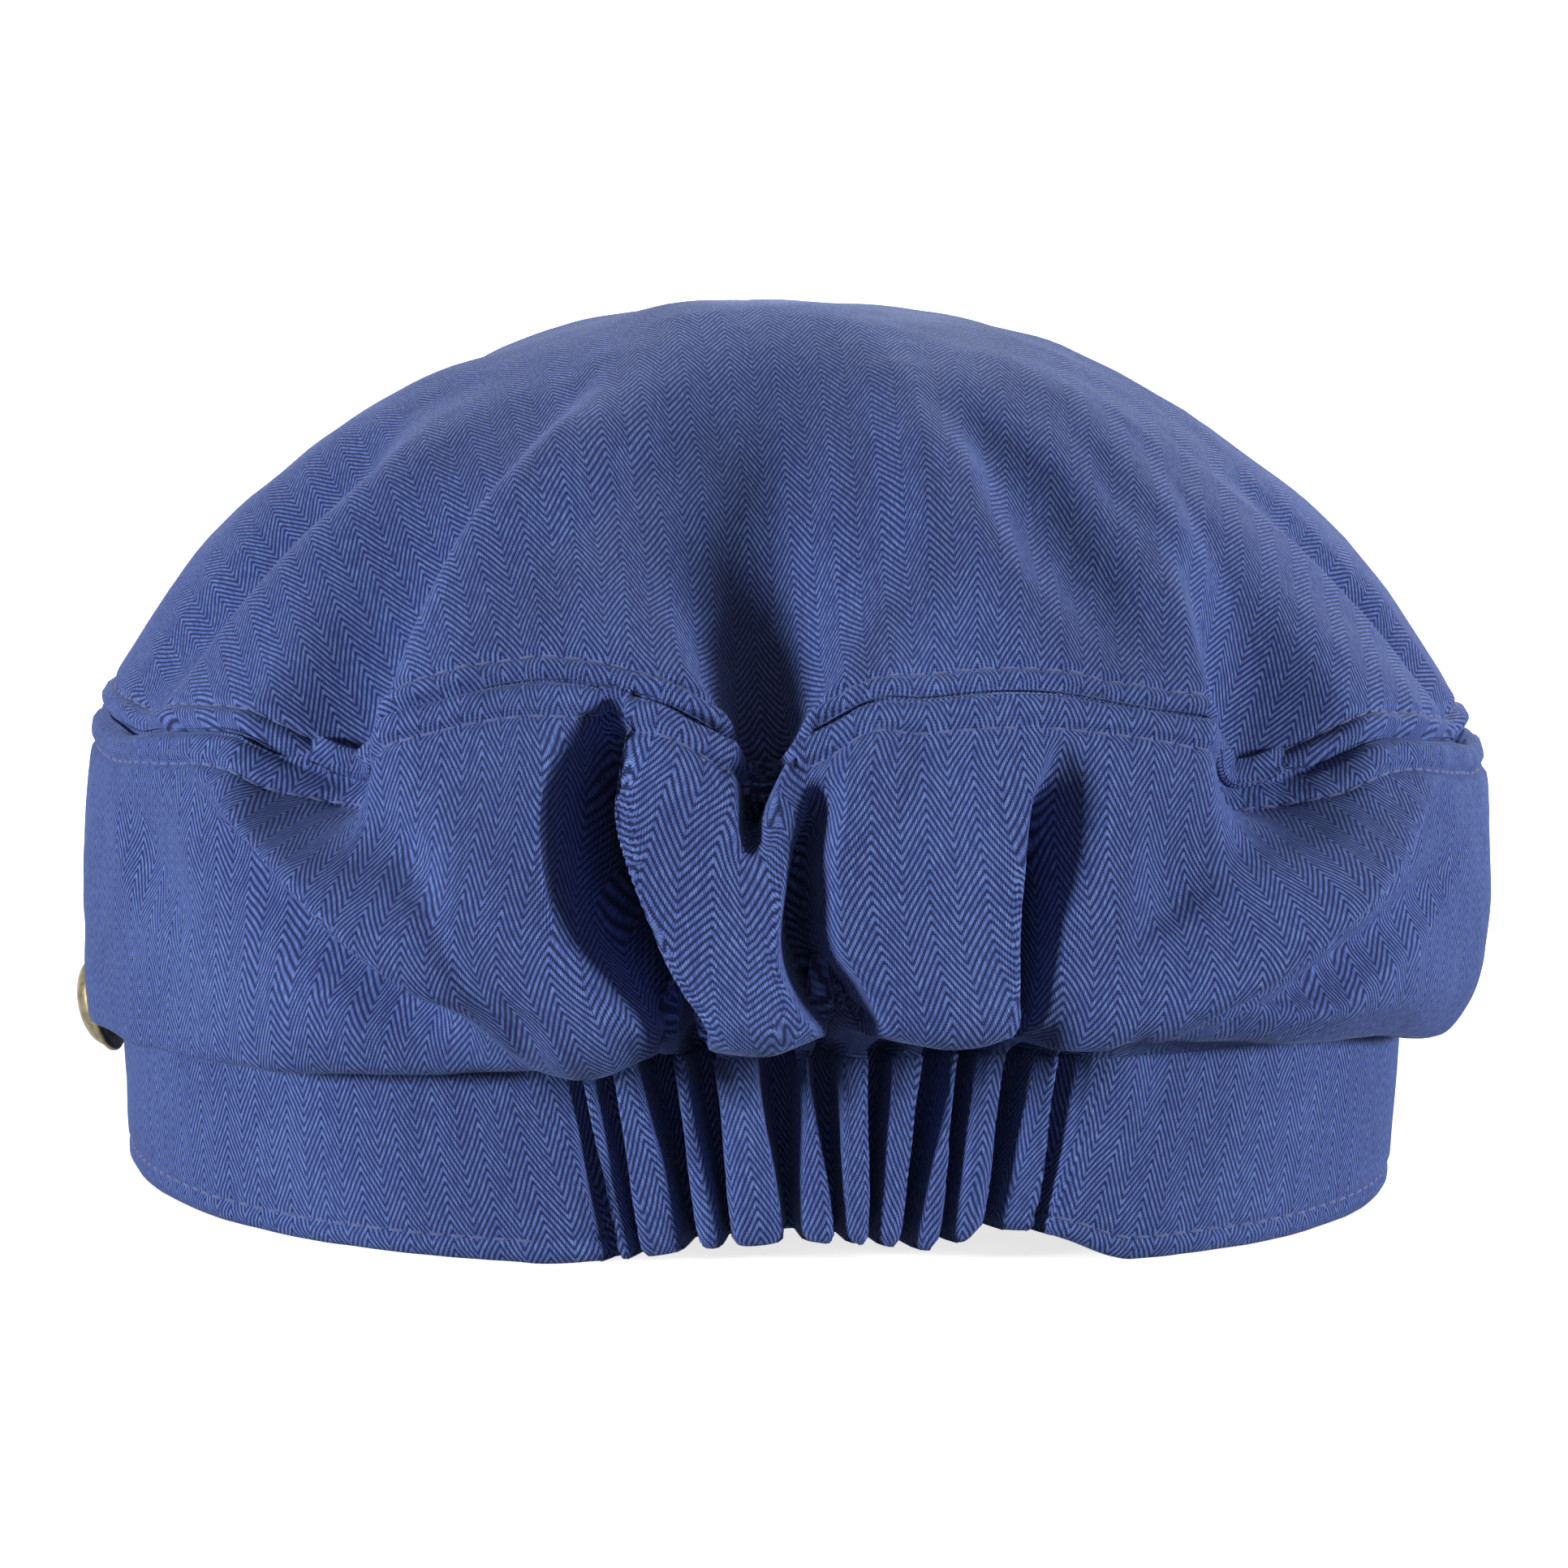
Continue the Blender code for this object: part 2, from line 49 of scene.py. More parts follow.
# Sizes of the cap, as in the part's source, which this script can't read. The heights of band, wall
# and dome differ from it by up to 2.4 mm, and the crown's lean and reach by less
BAND_SIDE = 90.5 * MM
BAND_BACK = 86.0 * MM
BAND_FRONT = 98.0 * MM
BAND_HEIGHT = 27.4 * MM
BAND_WALL = 2.2 * MM
BAND_TAPER = 1.5 * MM
FRONT_LIFT = 15.0 * MM
FRONT_LIFT_STARTS = 0.15
SIDE_LIFT = 1.0 * MM
SIDE_LIFT_STARTS = 0.75
OVAL_POWER = 2.2
GATHER_ANGLE = 21.0
GATHER_EASE = 4.0
GATHER_RECESS = 3.5 * MM
PLEAT_FADE = 0.16
CROWN_OVER_SIDE = 8.2 * MM
CROWN_OVER_BACK = 15.0 * MM
CROWN_OVER_FRONT = 16.0 * MM
CROWN_LEAN = 3.0 * MM
LEAN_LEVEL = 0.3
DOME_LEAN = 0.8 * MM
DOME_LEAN_STARTS = 0.9
WALL_BACK = 48.6 * MM
WALL_SIDE = 35.6 * MM
WALL_FRONT = 43.6 * MM
DOME_RISE = 46.5 * MM
DOME_POWER = 2.28
POLE_EASE = 1.85
FOLD_DEPTH = 24.0 * MM
PEAK_DEPTH = 52.0 * MM
PEAK_ROOT = 3.0 * MM
PEAK_THICK = 4.0 * MM
PEAK_ANGLE = 62.0
STRAP_WIDTH = 9.0 * MM
STRAP_THICK = 1.8 * MM
STRAP_RISE = 17.0 * MM
STRAP_ANGLE = 106.0
STRAP_TAIL = 5.0
BUTTON_RADIUS = 7.5 * MM
BUTTON_DOME = 3.4 * MM
BUTTON_RIM = 0.9 * MM
BEAD_RADIUS = 0.6 * BUTTON_RIM
BUTTON_BACK = 0.1 * MM
BUTTON_LIP = 1.2 * MM
SHANK_RADIUS = 2.0 * MM
SHANK_LENGTH = 1.9 * MM
SHANK_WAIST = 0.8
BUTTON_TILT = 12.0
GAP = 0.3 * MM
HEAD_X = -2.04 * MM
HEAD_Y = -23.75 * MM

# Thickness of one layer of the cloth
CLOTH = 1.2 * MM

# Side section of the crown.
# Columns: level, way out as a share of the overhang, way up as a share of the wall height
SECTION = np.array((
    (0, 0, 0),
    (0.02, 0.03, 0),
    (0.06, 0.34, 0),
    (0.1, 0.6, 0.005),
    (0.18, 0.84, 0.07),
    (0.35, 0.97, 0.22),
    (0.6, 1, 0.52),
    (0.82, 0.9, 0.8),
    (1, 0.68, 1),
))

# The wall's start is tucked in behind the band: up to which level, and how far down
TUCK = 0.02
TUCK_DOWN = 2.0 * MM

# How much lower the overhang sags, at the level where it is lowest, coming on from the band.
# Columns: angle, sag in millimetres, negative where it is drawn up
SIDE_SAGS = np.array((
    (-180, 0),
    (-125, 1),
    (-85, 6.6),
    (-55, 5),
    (-28, 2.2),
    (0, 0),
    (24, -2.4),
    (45, -0.8),
    (80, 6),
    (125, 1),
    (180, 0),
))
SAG_LEVEL = 0.1
SAG_STARTS = 0.05

# Folds, lobes and dents of the crown, each following a path down it.
# Columns: level at its top, its deepest point and its low end; angle at each of these;
# width to the left and to the right in degrees; how much wider it is at the top and at
# the low end; depth as a share of FOLD_DEPTH, negative where it stands out;
# how far its right crest, or its left one if negative, hangs over it as a share of width
FOLDS = (
    # broad valley of the top panel, with the ridge at its left and the swell at its right
    (1.9, 1.24, 0.95, -13, -9, -6.8, 24, 23, 1.3, 0.6, 0.32, 0),
    (1.72, 1.28, 1.0, -31, -33, -40, 8, 10, 1.8, 1, -0.16, 0),
    (1.7, 1.25, 0.98, 14.5, 11, 8, 7, 8, 1.4, 1, -0.09, 0),
    # pinches where the top seam buckles
    (1.38, 0.96, 0.62, -42, -42, -39.5, 10, 7, 1, 0.6, 0.42, 0.1),
    (1.28, 0.95, 0.57, 38.5, 34.5, 31, 7.5, 12, 0.6, 0.4, 0.44, -0.15),
    # long ridges that run down to the gathers, with the dips below them
    (0.95, 0.48, 0.06, -58, -34.5, -19, 4, 12, 1, 0.6, -0.42, 0),
    (0.88, 0.5, 0.12, -34, -26, -18, 3.5, 5.5, 1, 0.7, -0.16, 0),
    (0.93, 0.52, 0.08, 57, 34.5, 19, 12, 4, 1, 0.6, -0.44, 0),
    (0.8, 0.36, 0.06, -50, -35, -25, 8, 5, 1, 0.6, 0.17, 0),
    (0.78, 0.38, 0.06, 62, 40, 26, 5, 8, 1, 0.6, 0.18, 0),
    (0.9, 0.62, 0.36, -66, -62, -58, 7, 8, 1, 1, 0.13, 0),
    (0.86, 0.6, 0.3, 26, 25, 24, 5, 7, 1, 1, 0.1, 0),
    # puffed lips of the notch
    (1.15, 0.86, 0.5, -14, -12.6, -11, 3.4, 3.6, 1, 1, -0.1, 0),
    (1.15, 0.88, 0.45, 2.5, 0.6, -3.5, 4.4, 4.2, 1, 1, -0.11, 0),
    # soft dents of the top panel, and the full lobes at its sides
    (1.55, 1.18, 0.95, 19, 22.5, 23, 8, 8, 1, 0.8, 0.15, 0),
    (1.48, 1.2, 1.0, -62, -58, -62, 8, 8, 1.6, 1, -0.11, 0),
    (1.5, 1.2, 0.98, 40, 36, 31, 6, 7, 1, 1, -0.1, 0),
    (1.45, 1.16, 0.9, -70, -70, -74, 7, 8, 1.6, 1, 0.14, 0),
    (1.45, 1.1, 0.85, 60, 71, 74, 8, 7, 1, 1, 0.16, 0),
    (1.75, 1.2, 0.95, -88, -90, -92, 20, 20, 1, 1, -0.16, 0),
    (1.75, 1.2, 0.95, 88, 90, 92, 20, 20, 1, 1, -0.13, 0),
    # tongues of cloth that hang over the gathers between the folds
    (0.3, 0.09, 0.0, 0, 0, 0, 26, 26, 1, 1, 0.2, 0),
    (0.6, 0.22, 0.03, -18.5, -18, -18, 5.5, 5, 1, 1, -0.14, 0),
    (0.6, 0.22, 0.03, -6.5, -5.4, -5, 4.5, 4.5, 1, 1, -0.15, 0),
    (0.6, 0.22, 0.03, 6.5, 7.9, 8.2, 6.5, 6, 1, 1, -0.14, 0),
    (0.5, 0.2, 0.03, 18.5, 18.2, 18, 3.5, 3.5, 1, 1, -0.1, 0),
    # cloth held off the two buttons
    (0.42, 0.14, 0.01, -106, -106, -106, 13, 13, 1, 1, 0.3, 0),
    (0.42, 0.14, 0.01, 106, 106, 106, 13, 13, 1, 1, 0.3, 0),
)

# Deep folds, open to the left and right of a floor, each by rows up it.
# First: the share of its width that the left and the right wall take, and how far the left
# and the right lip hang over it in degrees. Columns: level, left and right edge in degrees,
# depth in millimetres
DEEP_FOLDS = (
    # the notch that the top panel's valley ends in
    ((0.46, 0.46, 0.3, 0.3), (
        (0.67, -8, -6.6, 0), (0.72, -8.4, -6.3, 6), (0.79, -8.7, -6.1, 12), (0.87, -8.9, -5.5, 16),
        (0.94, -9.2, -4.5, 16), (1.0, -9.8, -3.2, 13), (1.06, -14, 0.4, 7.5), (1.13, -20, 5.5, 4),
        (1.3, -30, 13, 0))),
    # three folds below the top seam
    ((0.58, 0.18, 0, 3), (
        (0.0, -13, -8.5, 0), (0.06, -13.3, -8.4, 6), (0.14, -13.8, -8.2, 14),
        (0.25, -15.2, -8.3, 22), (0.36, -18.2, -9.4, 30), (0.48, -20.8, -11, 34),
        (0.62, -22.2, -13, 34), (0.75, -22.6, -15, 29), (0.84, -21.6, -15.8, 17),
        (0.92, -20.2, -16.4, 6), (1.0, -19, -16.8, 0))),
    ((0.3, 0.66, 0.8, 0), (
        (0.0, -0.6, 1.8, 0), (0.06, -0.8, 2, 6), (0.14, -1, 2.6, 13), (0.25, -2.8, 3.2, 16),
        (0.34, -5, 2, 17), (0.45, -6, -0.4, 16), (0.58, -5.8, -0.6, 15), (0.68, -5.2, -0.8, 12),
        (0.76, -4.4, -0.4, 8), (0.86, -3.6, 0, 0))),
    ((0.25, 0.78, 1.1, 0), (
        (0.0, 12.2, 13.8, 0), (0.06, 12.2, 14, 6), (0.14, 11.8, 14.2, 13), (0.28, 11.2, 14.6, 17),
        (0.42, 11, 15.8, 18), (0.56, 11.2, 17.2, 16), (0.66, 11.8, 18.6, 11), (0.76, 12.8, 20.2, 6),
        (0.88, 15, 21, 0))),
)

# How far each side of its edge a lip is turned with it, in degrees
LIP_SPREAD = 3.0

# Where the top seam sags, or rises where negative.
# Columns: angle, reach to the left and to the right in degrees, sag in millimetres, and how
# pointed it is: 2 falls off softly, 1 comes to a point. Levels: where the sag starts and is full
# below the seam, and where it fades and is gone above it
SEAM_SAG_LEVELS = (0.58, 0.94, 1.02, 1.52)
SEAM_SAGS = (
    (-6.6, 9.5, 10, 6, 1.5),
    (-24, 15, 12, -3.6, 2),
    (15, 13, 16, -1.8, 2),
    (-41.5, 14, 7, 3.8, 1.8),
    (36, 6, 15, 4.4, 1.8),
)

# Pleats of the gathered band: their depth, their share of width at the hem and what opens above
# it, where their walls stand and how wide these are, and how much of each is a soft swell
PLEAT_DEPTH = 11.0 * MM
PLEAT_AT_HEM = 0.5
PLEAT_OPENING = 0.75
PLEAT_EDGE = 1.15
PLEAT_WALL = 0.62
PLEAT_SWELL = 0.25
PLEAT_SPREAD = 1.9

# Columns: angle at the top and at the hem, half width in degrees, depth as a share
PLEATS = (
    (-21.8, -17.9, 0.8, 0.25),
    (-19.4, -15.6, 0.9, 0.4),
    (-14.7, -10.8, 1.5, 1),
    (-10.4, -7.3, 1, 0.9),
    (-2.9, -1.2, 1.7, 1),
    (1.4, 3.3, 1.1, 0.8),
    (6.8, 6.4, 1, 0.95),
    (12.4, 9.6, 1.4, 1),
    (15.6, 13.2, 1, 0.95),
    (20.3, 17.6, 1.3, 0.95),
    (23.6, 21.4, 0.8, 0.3),
)

# Where the elastic lifts the hem.
# Columns: angle, reach in degrees, lift in millimetres
HEM_LIFTS = (
    (0, 22, 3),
    (20, 10, 4.2),
)

# How the columns of the cloth lean with the folds, in degrees
HEM_SHIFT = 1.0
HEM_CLOSING = 0.22
HEM_TURN_ENDS = 40.0
HEM_TURN_EASE = 16.0
FOLD_SHIFT = -8.2
FOLD_FOOT = -9.8
FOLD_SPREAD = 20.0
FOLD_LEVEL = 0.58

# Columns of the fine cloth grids: end angle of each stretch, and its count
CROWN_COLUMNS = ((-75.0, 42), (-28.0, 70), (28.0, 260), (75.0, 70), (180.0, 42))
BAND_COLUMNS = ((-60.0, 70), (-27.0, 66), (27.0, 260), (60.0, 66), (180.0, 70))

# Rows beside the top seam, by their distance from it, found in small steps of level, and rows
# at the hem, by their height
SEAM_ROWS = MM * np.array((
    0.12, 0.4, 0.75, 1.2, 1.8, 2.5, 3.1, 3.5, 3.8, 4.1, 4.6, 5.0, 5.4, 6.1, 7.1, 8.5, 10.0))
SEAM_SEARCH = np.linspace(0.0, 0.4, 81)
HEM_ROWS = MM * np.array((0.0, 0.5, 1.2, 2.0, 2.5, 3.0, 3.5, 4.2, 5.2))

# Depths of the rows that turn in at the top seam, and how far the lining side stands off it
SEAM_TURNS = (2.4 * MM, 1.2 * MM)
EDGE_STAND = 0.3 * CLOTH

# Rows from the band to the seam rows, and how much they crowd at the band, and rows elsewhere
SIDE_ROWS = 58
SIDE_CROWDING = 0.28
TOP_ROWS = 48
BAND_ROWS = 19

# Rounds in which the cloth's flat directions settle, how hard each pulls and is smoothed, and
# how little the cloth holds its lengths below some depth of fold
FLAT_ROUNDS = 260
FLAT_PULL = 0.28
FLAT_SMOOTHING = 0.1
HIDDEN_HOLD = 0.04
SIGHT_DEPTH = 5.0 * MM
SIGHT_FADE = 8.0 * MM

# Relief beside the top seam and the hem
DITCH_DEPTH = 2.1 * MM
DITCH_WIDTH = 0.9 * MM
STRIP_PUFF = 0.45 * MM
STRIP_STARTS = 1.4 * MM
STRIP_ENDS = 1.6 * MM
GROOVE_DEPTH = 0.65 * MM
GROOVE_WIDTH = 0.6 * MM
PUCKER_REACH = 7.0 * MM
PUCKER_STARTS = 1.0 * MM
HEM_GROOVE = 0.4 * MM
HEM_ROUND = 0.7 * MM

# Slack of worn cotton, calm at the crown's start, and ripples that die out beside the gathers.
# Columns: depth and size of its features in millimetres, how much longer they are upwards, seed
CROWN_CREASES = (
    (1.0, 26.0, 1.2, 11.0),
    (0.45, 11.0, 1.5, 5.0),
    (0.16, 4.5, 1.6, 7.0),
)
SEAM_PUCKERS = ((0.65, 5.0, 1.0, 3.0),)
BAND_CREASES = (
    (0.35, 16.0, 1.5, 9.0),
    (0.1, 4.0, 1.2, 1.0),
)
BAND_RIPPLES = ((0.75, 5.5, 3.5, 2.0),)
CALM_LEVEL = 0.1
RIPPLE_ANGLE = 24.0
RIPPLE_SPREAD = 16.0

# Topstitching: its way from the top seam and the hem, where it stops beside the gathers, its
# pitch, the share left open at each end, how flat, long and high a stitch is, and the thread
STITCH_OFF_SIDE = 5.0 * MM
STITCH_OFF_TOP = 3.8 * MM
STITCH_OFF_HEM = 3.0 * MM
HEM_STITCH_ANGLE = GATHER_ANGLE + 1.0
STITCH_PITCH = 3.0 * MM
STITCH_GAP = 0.14
STITCH_FLAT = 0.8
STITCH_LONG = 1.08
STITCH_RISE = 0.16
THREAD = 0.45 * MM

# Grids of the peak and the strap: how the peak's rows crowd at its edge, how far its root is
# tucked in, and how square the strap's edges are
PEAK_COLUMNS = 181
PEAK_ROWS = 41
PEAK_CROWDING = 1.5
PEAK_TUCK = 0.1
STRAP_COLUMNS = 241
STRAP_ROWS = 15
STRAP_SQUARE = 8

# The peak's rows of stitches, by their distance from its edge, and the way up from it, and
# the strap's, with finer thread
PEAK_STITCHES = (3.5 * MM, 8.5 * MM)
PEAK_STITCH_ENDS = 2.0 * MM
PEAK_GROOVE = 0.3 * MM
PEAK_GROOVE_WIDTH = 0.5 * MM
PEAK_UP = (0.0, 0.3, 1.0)
STRAP_STITCH_IN = 1.6 * MM
STRAP_STITCH_ENDS = 2.5 * MM
STRAP_GROOVE = 0.15 * MM
STRAP_THREAD = 0.4 * MM

# Camera: what it looks at, its direction in degrees, its distance and its lens in millimetres
CAMERA_TARGET = (HEAD_X + 3.0 * MM, HEAD_Y, 54.0 * MM)
CAMERA_AZIMUTH = -5.0
CAMERA_ELEVATION = 6.5
CAMERA_ROLL = 0.95
CAMERA_DISTANCE = 0.9
CAMERA_LENS = 145.8
CAMERA_SENSOR = 36.0

# White sweep, and what the lamps are turned to.
# Columns of the lamps: name, place, size, power in watts
FLOOR_RADIUS = 1.2
SWEEP_RADIUS = 0.8
SWEEP_TOP = 2.6
SKY = 0.05
LAMP_TARGET = (0.0, 0.0, 0.05)
LAMPS = (
    ("left_lamp", (-1.45, -0.75, 0.2), 0.4, 54.0),
    ("right_lamp", (1.5, -0.6, 0.2), 0.4, 48.0),
    ("low_lamp", (-0.1, -1.7, 0.1), 0.2, 6.0),
    ("front_lamp", (0.3, 1.3, 0.9), 0.9, 22.0),
)


# Shape of the cap

def smooth(share):
    """Ease from 0 to 1 without a kink at either end."""
    share = np.clip(share, 0.0, 1.0)
    return share * share * (3.0 - 2.0 * share)


def hump(offset):
    """A smooth hump, 1 at 0 and gone at -1 and 1."""
    return np.clip(1.0 - offset * offset, 0.0, 1.0) ** 2


def bell(distance, spread):
    """A bell round nought, as wide as its spread."""
    return np.exp(-(distance / spread) ** 2)


def oval(angle, side, back, front):
    """Radius of the head's oval in one direction."""
    across = np.abs(np.sin(angle)) / side
    along = np.cos(angle) / np.where(np.cos(angle) > 0.0, back, front)
    return (across ** OVAL_POWER + np.abs(along) ** OVAL_POWER) ** (-1.0 / OVAL_POWER)


def around(angle, back, side, front):
    """A value that changes smoothly from the back over the sides to the front."""
    along = np.cos(angle)
    return side + (np.where(along > 0.0, back, front) - side) * along ** 2


def rim_height(angle):
    """Height of the band's lower edge, lifted over the peak."""
    sides = SIDE_LIFT * smooth((SIDE_LIFT_STARTS - np.cos(angle)) / SIDE_LIFT_STARTS)
    return sides + FRONT_LIFT * smooth((-np.cos(angle) - FRONT_LIFT_STARTS) / (1.0 - FRONT_LIFT_STARTS))


def gathered(degrees):
    """1 inside the elastic part of the band and 0 outside it."""
    return smooth((GATHER_ANGLE + GATHER_EASE - np.abs(degrees)) / (2.0 * GATHER_EASE))


def band_drift(angle, height):
    """Turn the band's columns to run down the pleats, which close up at the hem."""
    degrees = np.degrees(angle)
    shift = (HEM_SHIFT - HEM_CLOSING * degrees) * (1.0 - height)
    return angle + np.radians(shift * smooth((HEM_TURN_ENDS - np.abs(degrees)) / HEM_TURN_EASE))


def crown_drift(angle, level):
    """Turn the crown's columns to run up the widest fold."""
    shift = FOLD_SHIFT * hump((np.degrees(angle) - FOLD_FOOT) / FOLD_SPREAD) * smooth(level / FOLD_LEVEL)
    return angle + np.radians(shift)


def pleat_depth(degrees, height):
    """How far the pleats draw the band in: trenches with steep walls and soft floors."""
    depth = GATHER_RECESS * gathered(degrees)
    for top_angle, hem_angle, half_width, share in PLEATS:
        centre = hem_angle + (top_angle - hem_angle) * height
        width = half_width * (PLEAT_AT_HEM + PLEAT_OPENING * smooth(height))
        trench = smooth((PLEAT_EDGE - np.abs(degrees - centre) / width) / PLEAT_WALL)
        swell = bell(degrees - centre, PLEAT_SPREAD * width)
        depth = depth + PLEAT_DEPTH * share * ((1.0 - PLEAT_SWELL) * trench + PLEAT_SWELL * swell)
    return depth


def band_radius(angle, height):
    """Outer radius of the band at a share of its height."""
    plain = oval(angle, BAND_SIDE, BAND_BACK, BAND_FRONT) - BAND_TAPER * (1.0 - height)
    return plain - pleat_depth(np.degrees(angle), height)


def seam_radius(angle, level):
    """Radius of the crown's start, whose pleats die out up the crown."""
    plain = oval(angle, BAND_SIDE, BAND_BACK, BAND_FRONT)
    return plain - pleat_depth(np.degrees(angle), 1.0) * (1.0 - smooth(level / PLEAT_FADE))


def from_round(angle, radius, height):
    """Points at an angle, a radius from the head's middle and a height."""
    return np.stack((HEAD_X + radius * np.sin(angle), HEAD_Y - radius * np.cos(angle), height), -1)


def band_outside(angle, height):
    """Outer face of the headband."""
    angle = band_drift(angle, height)
    lift = sum(deep * MM * hump((np.degrees(angle) - centre) / reach) for centre, reach, deep in HEM_LIFTS)
    up = rim_height(angle) + BAND_HEIGHT * height + lift * (1.0 - height)
    return from_round(angle, band_radius(angle, height), up)


def round_off(distance, half):
    """Half thickness of an edge that is round, at a distance from it."""
    return half * np.sqrt(1.0 - np.clip(1.0 - distance / half, 0.0, 1.0) ** 2)


def through(table, place, column):
    """A column of a table at any place, on a smooth curve through its rows."""
    places, values = table[:, 0], table[:, column]
    slopes = np.gradient(values, places)
    row = np.clip(np.searchsorted(places, place) - 1, 0, len(places) - 2)
    span = places[row + 1] - places[row]
    share = np.clip((place - places[row]) / span, 0.0, 1.0)
    ease = smooth(share)
    start_pull = share * (1.0 - share) ** 2 * span * slopes[row]
    end_pull = share * share * (1.0 - share) * span * slopes[row + 1]
    return values[row] * (1.0 - ease) + values[row + 1] * ease + start_pull - end_pull


def plain_crown(angle, level):
    """The crown before its folds: it swells over the band, then domes to the middle."""
    low = np.clip(level, 0.0, 1.0)
    way_in = np.clip(2.0 - level, 0.0, 1.0)
    out = through(SECTION, low, 1)
    rise = through(SECTION, low, 2)
    seam = seam_radius(angle, level)
    full = oval(
        angle, BAND_SIDE + CROWN_OVER_SIDE, BAND_BACK + CROWN_OVER_BACK, BAND_FRONT + CROWN_OVER_FRONT)
    band_top = rim_height(angle) + BAND_HEIGHT + GAP
    wall = around(angle, WALL_BACK, WALL_SIDE, WALL_FRONT)
    dome_top = BAND_HEIGHT + WALL_BACK + DOME_RISE
    tucked = 1.0 - smooth(low / TUCK)
    radius = seam - (BAND_WALL + GAP) * tucked + (full - seam) * out
    radius = radius * np.where(level > 1.0, way_in, 1.0)
    domed = np.where(level > 1.0, 1.0 - way_in ** DOME_POWER, 0.0)
    height = band_top + wall * rise - TUCK_DOWN * tucked
    sag = through(SIDE_SAGS, np.clip(np.degrees(angle), -180.0, 180.0), 1) * MM
    height = height - sag * hump((low - SAG_LEVEL) / (2.0 * SAG_LEVEL)) * smooth(low / SAG_STARTS)
    height = height + (dome_top - height) * domed
    points = from_round(angle, radius, height)
    points[..., 0] += CROWN_LEAN * smooth(level / LEAN_LEVEL) + DOME_LEAN * smooth(level - DOME_LEAN_STARTS)
    return points


def plain_normals(angle, level):
    """Outward directions of the crown before its folds, by small steps."""
    turn = math.radians(0.6)
    step = 0.03
    middle = np.clip(level, step, 2.0 - 2.0 * step)
    sideways = plain_crown(angle + turn, middle) - plain_crown(angle - turn, middle)
    upwards = plain_crown(angle, middle + step) - plain_crown(angle, middle - step)
    return to_pole(unit(np.cross(sideways, upwards)), level)


def unit(vectors):
    """The same directions at length 1."""
    return vectors / np.maximum(np.linalg.norm(vectors, axis=-1, keepdims=True), 1e-12)


def to_pole(directions, level):
    """Turn directions up towards the middle of the top panel."""
    share = smooth((level - POLE_EASE) / (2.0 - POLE_EASE))[..., None]
    return unit(directions * (1.0 - share) + np.array((0.0, 0.0, 1.0)) * share)


def fold_path(level, levels, angles):
    """Angle of a fold at a level: a parabola through its three named points."""
    (top, deep, low), (at_top, at_deep, at_low) = levels, angles
    return (
        at_top * (level - deep) * (level - low) / ((top - deep) * (top - low))
        + at_deep * (level - top) * (level - low) / ((deep - top) * (deep - low))
        + at_low * (level - top) * (level - deep) / ((low - top) * (low - deep))
    )


def folds(degrees, level, deep_folds=DEEP_FOLDS):
    """How deep the folds press the cloth in, and how far they turn it round the head."""
    press = np.zeros_like(degrees)
    turn = np.zeros_like(degrees)
    for top, deep, low, at_top, at_deep, at_low, left, right, top_flare, low_flare, depth, lean in FOLDS:
        above = (top - level) / (top - deep)
        below = (level - low) / (deep - low)
        fade = np.sin(np.clip(np.where(level > deep, above, below), 0.0, 1.0) * math.pi / 2) ** 2
        flare = np.where(level > deep, top_flare, low_flare)
        widen = 1.0 + (flare - 1.0) * (1.0 - fade)
        inside = np.clip(level, low, top)
        offset = degrees - fold_path(inside, (top, deep, low), (at_top, at_deep, at_low))
        width = np.where(offset < 0.0, left, right) * widen
        press = press + FOLD_DEPTH * depth * fade * hump(offset / width)
        side = right if lean > 0.0 else -left
        crest = side * widen
        turn = turn - abs(lean) * crest * fade * hump((offset - crest) / crest)
    for (left_wall, right_wall, left_lip, right_lip), rows in deep_folds:
        table = np.array(rows)
        inside = np.clip(level, table[0, 0], table[-1, 0])
        left, right, deep = (through(table, inside, column) for column in (1, 2, 3))
        deep = np.maximum(deep, 0.0) * (inside == level)
        share = (degrees - left) / (right - left)
        press = press + deep * MM * smooth(share / left_wall) * smooth((1.0 - share) / right_wall)
        lips = deep / table[:, 3].max()
        turn = turn + lips * left_lip * hump((degrees - left) / LIP_SPREAD)
        turn = turn - lips * right_lip * hump((degrees - right) / LIP_SPREAD)
    return press, turn


def seam_sag(degrees, level):
    """How far the cloth sags with the top seam, at the notch and between its buckles."""
    sag = np.zeros_like(degrees)
    for centre, left, right, deep, power in SEAM_SAGS:
        offset = degrees - centre
        share = np.abs(offset) / np.where(offset < 0.0, left, right)
        sag = sag + deep * MM * np.clip(1.0 - share ** power, 0.0, 1.0) ** 2
    starts, full, fades, gone = SEAM_SAG_LEVELS
    below = smooth((level - starts) / (full - starts))
    above = 1.0 - smooth((level - fades) / (gone - fades))
    return sag * below * above


def crown_outside(angle, level, deep_folds=DEEP_FOLDS):
    """Outer face of the crown, with its folds."""
    angle = crown_drift(angle, level)
    press, turn = folds(np.degrees(angle), level, deep_folds)
    turned = angle + np.radians(turn)
    points = plain_crown(turned, level) - plain_normals(turned, level) * press[..., None]
    points[..., 2] -= seam_sag(np.degrees(angle), level)
    return points


# Cloth laid on the shape

def columns(stretches):
    """Angles of a grid's columns round the whole head, in radians."""
    angles = [-180.0]
    for end, count in stretches:
        angles += list(np.linspace(angles[-1], end, count + 1)[1:])
    return np.radians(np.array(angles))


def grid_normals(points):
    """Outward directions of a grid of points, whose first and last columns are the same."""
    closed = np.concatenate((points[:, -2:-1], points, points[:, 1:2]), axis=1)
    sideways = closed[:, 2:] - closed[:, :-2]
    return unit(np.cross(sideways, np.gradient(points, axis=0)))


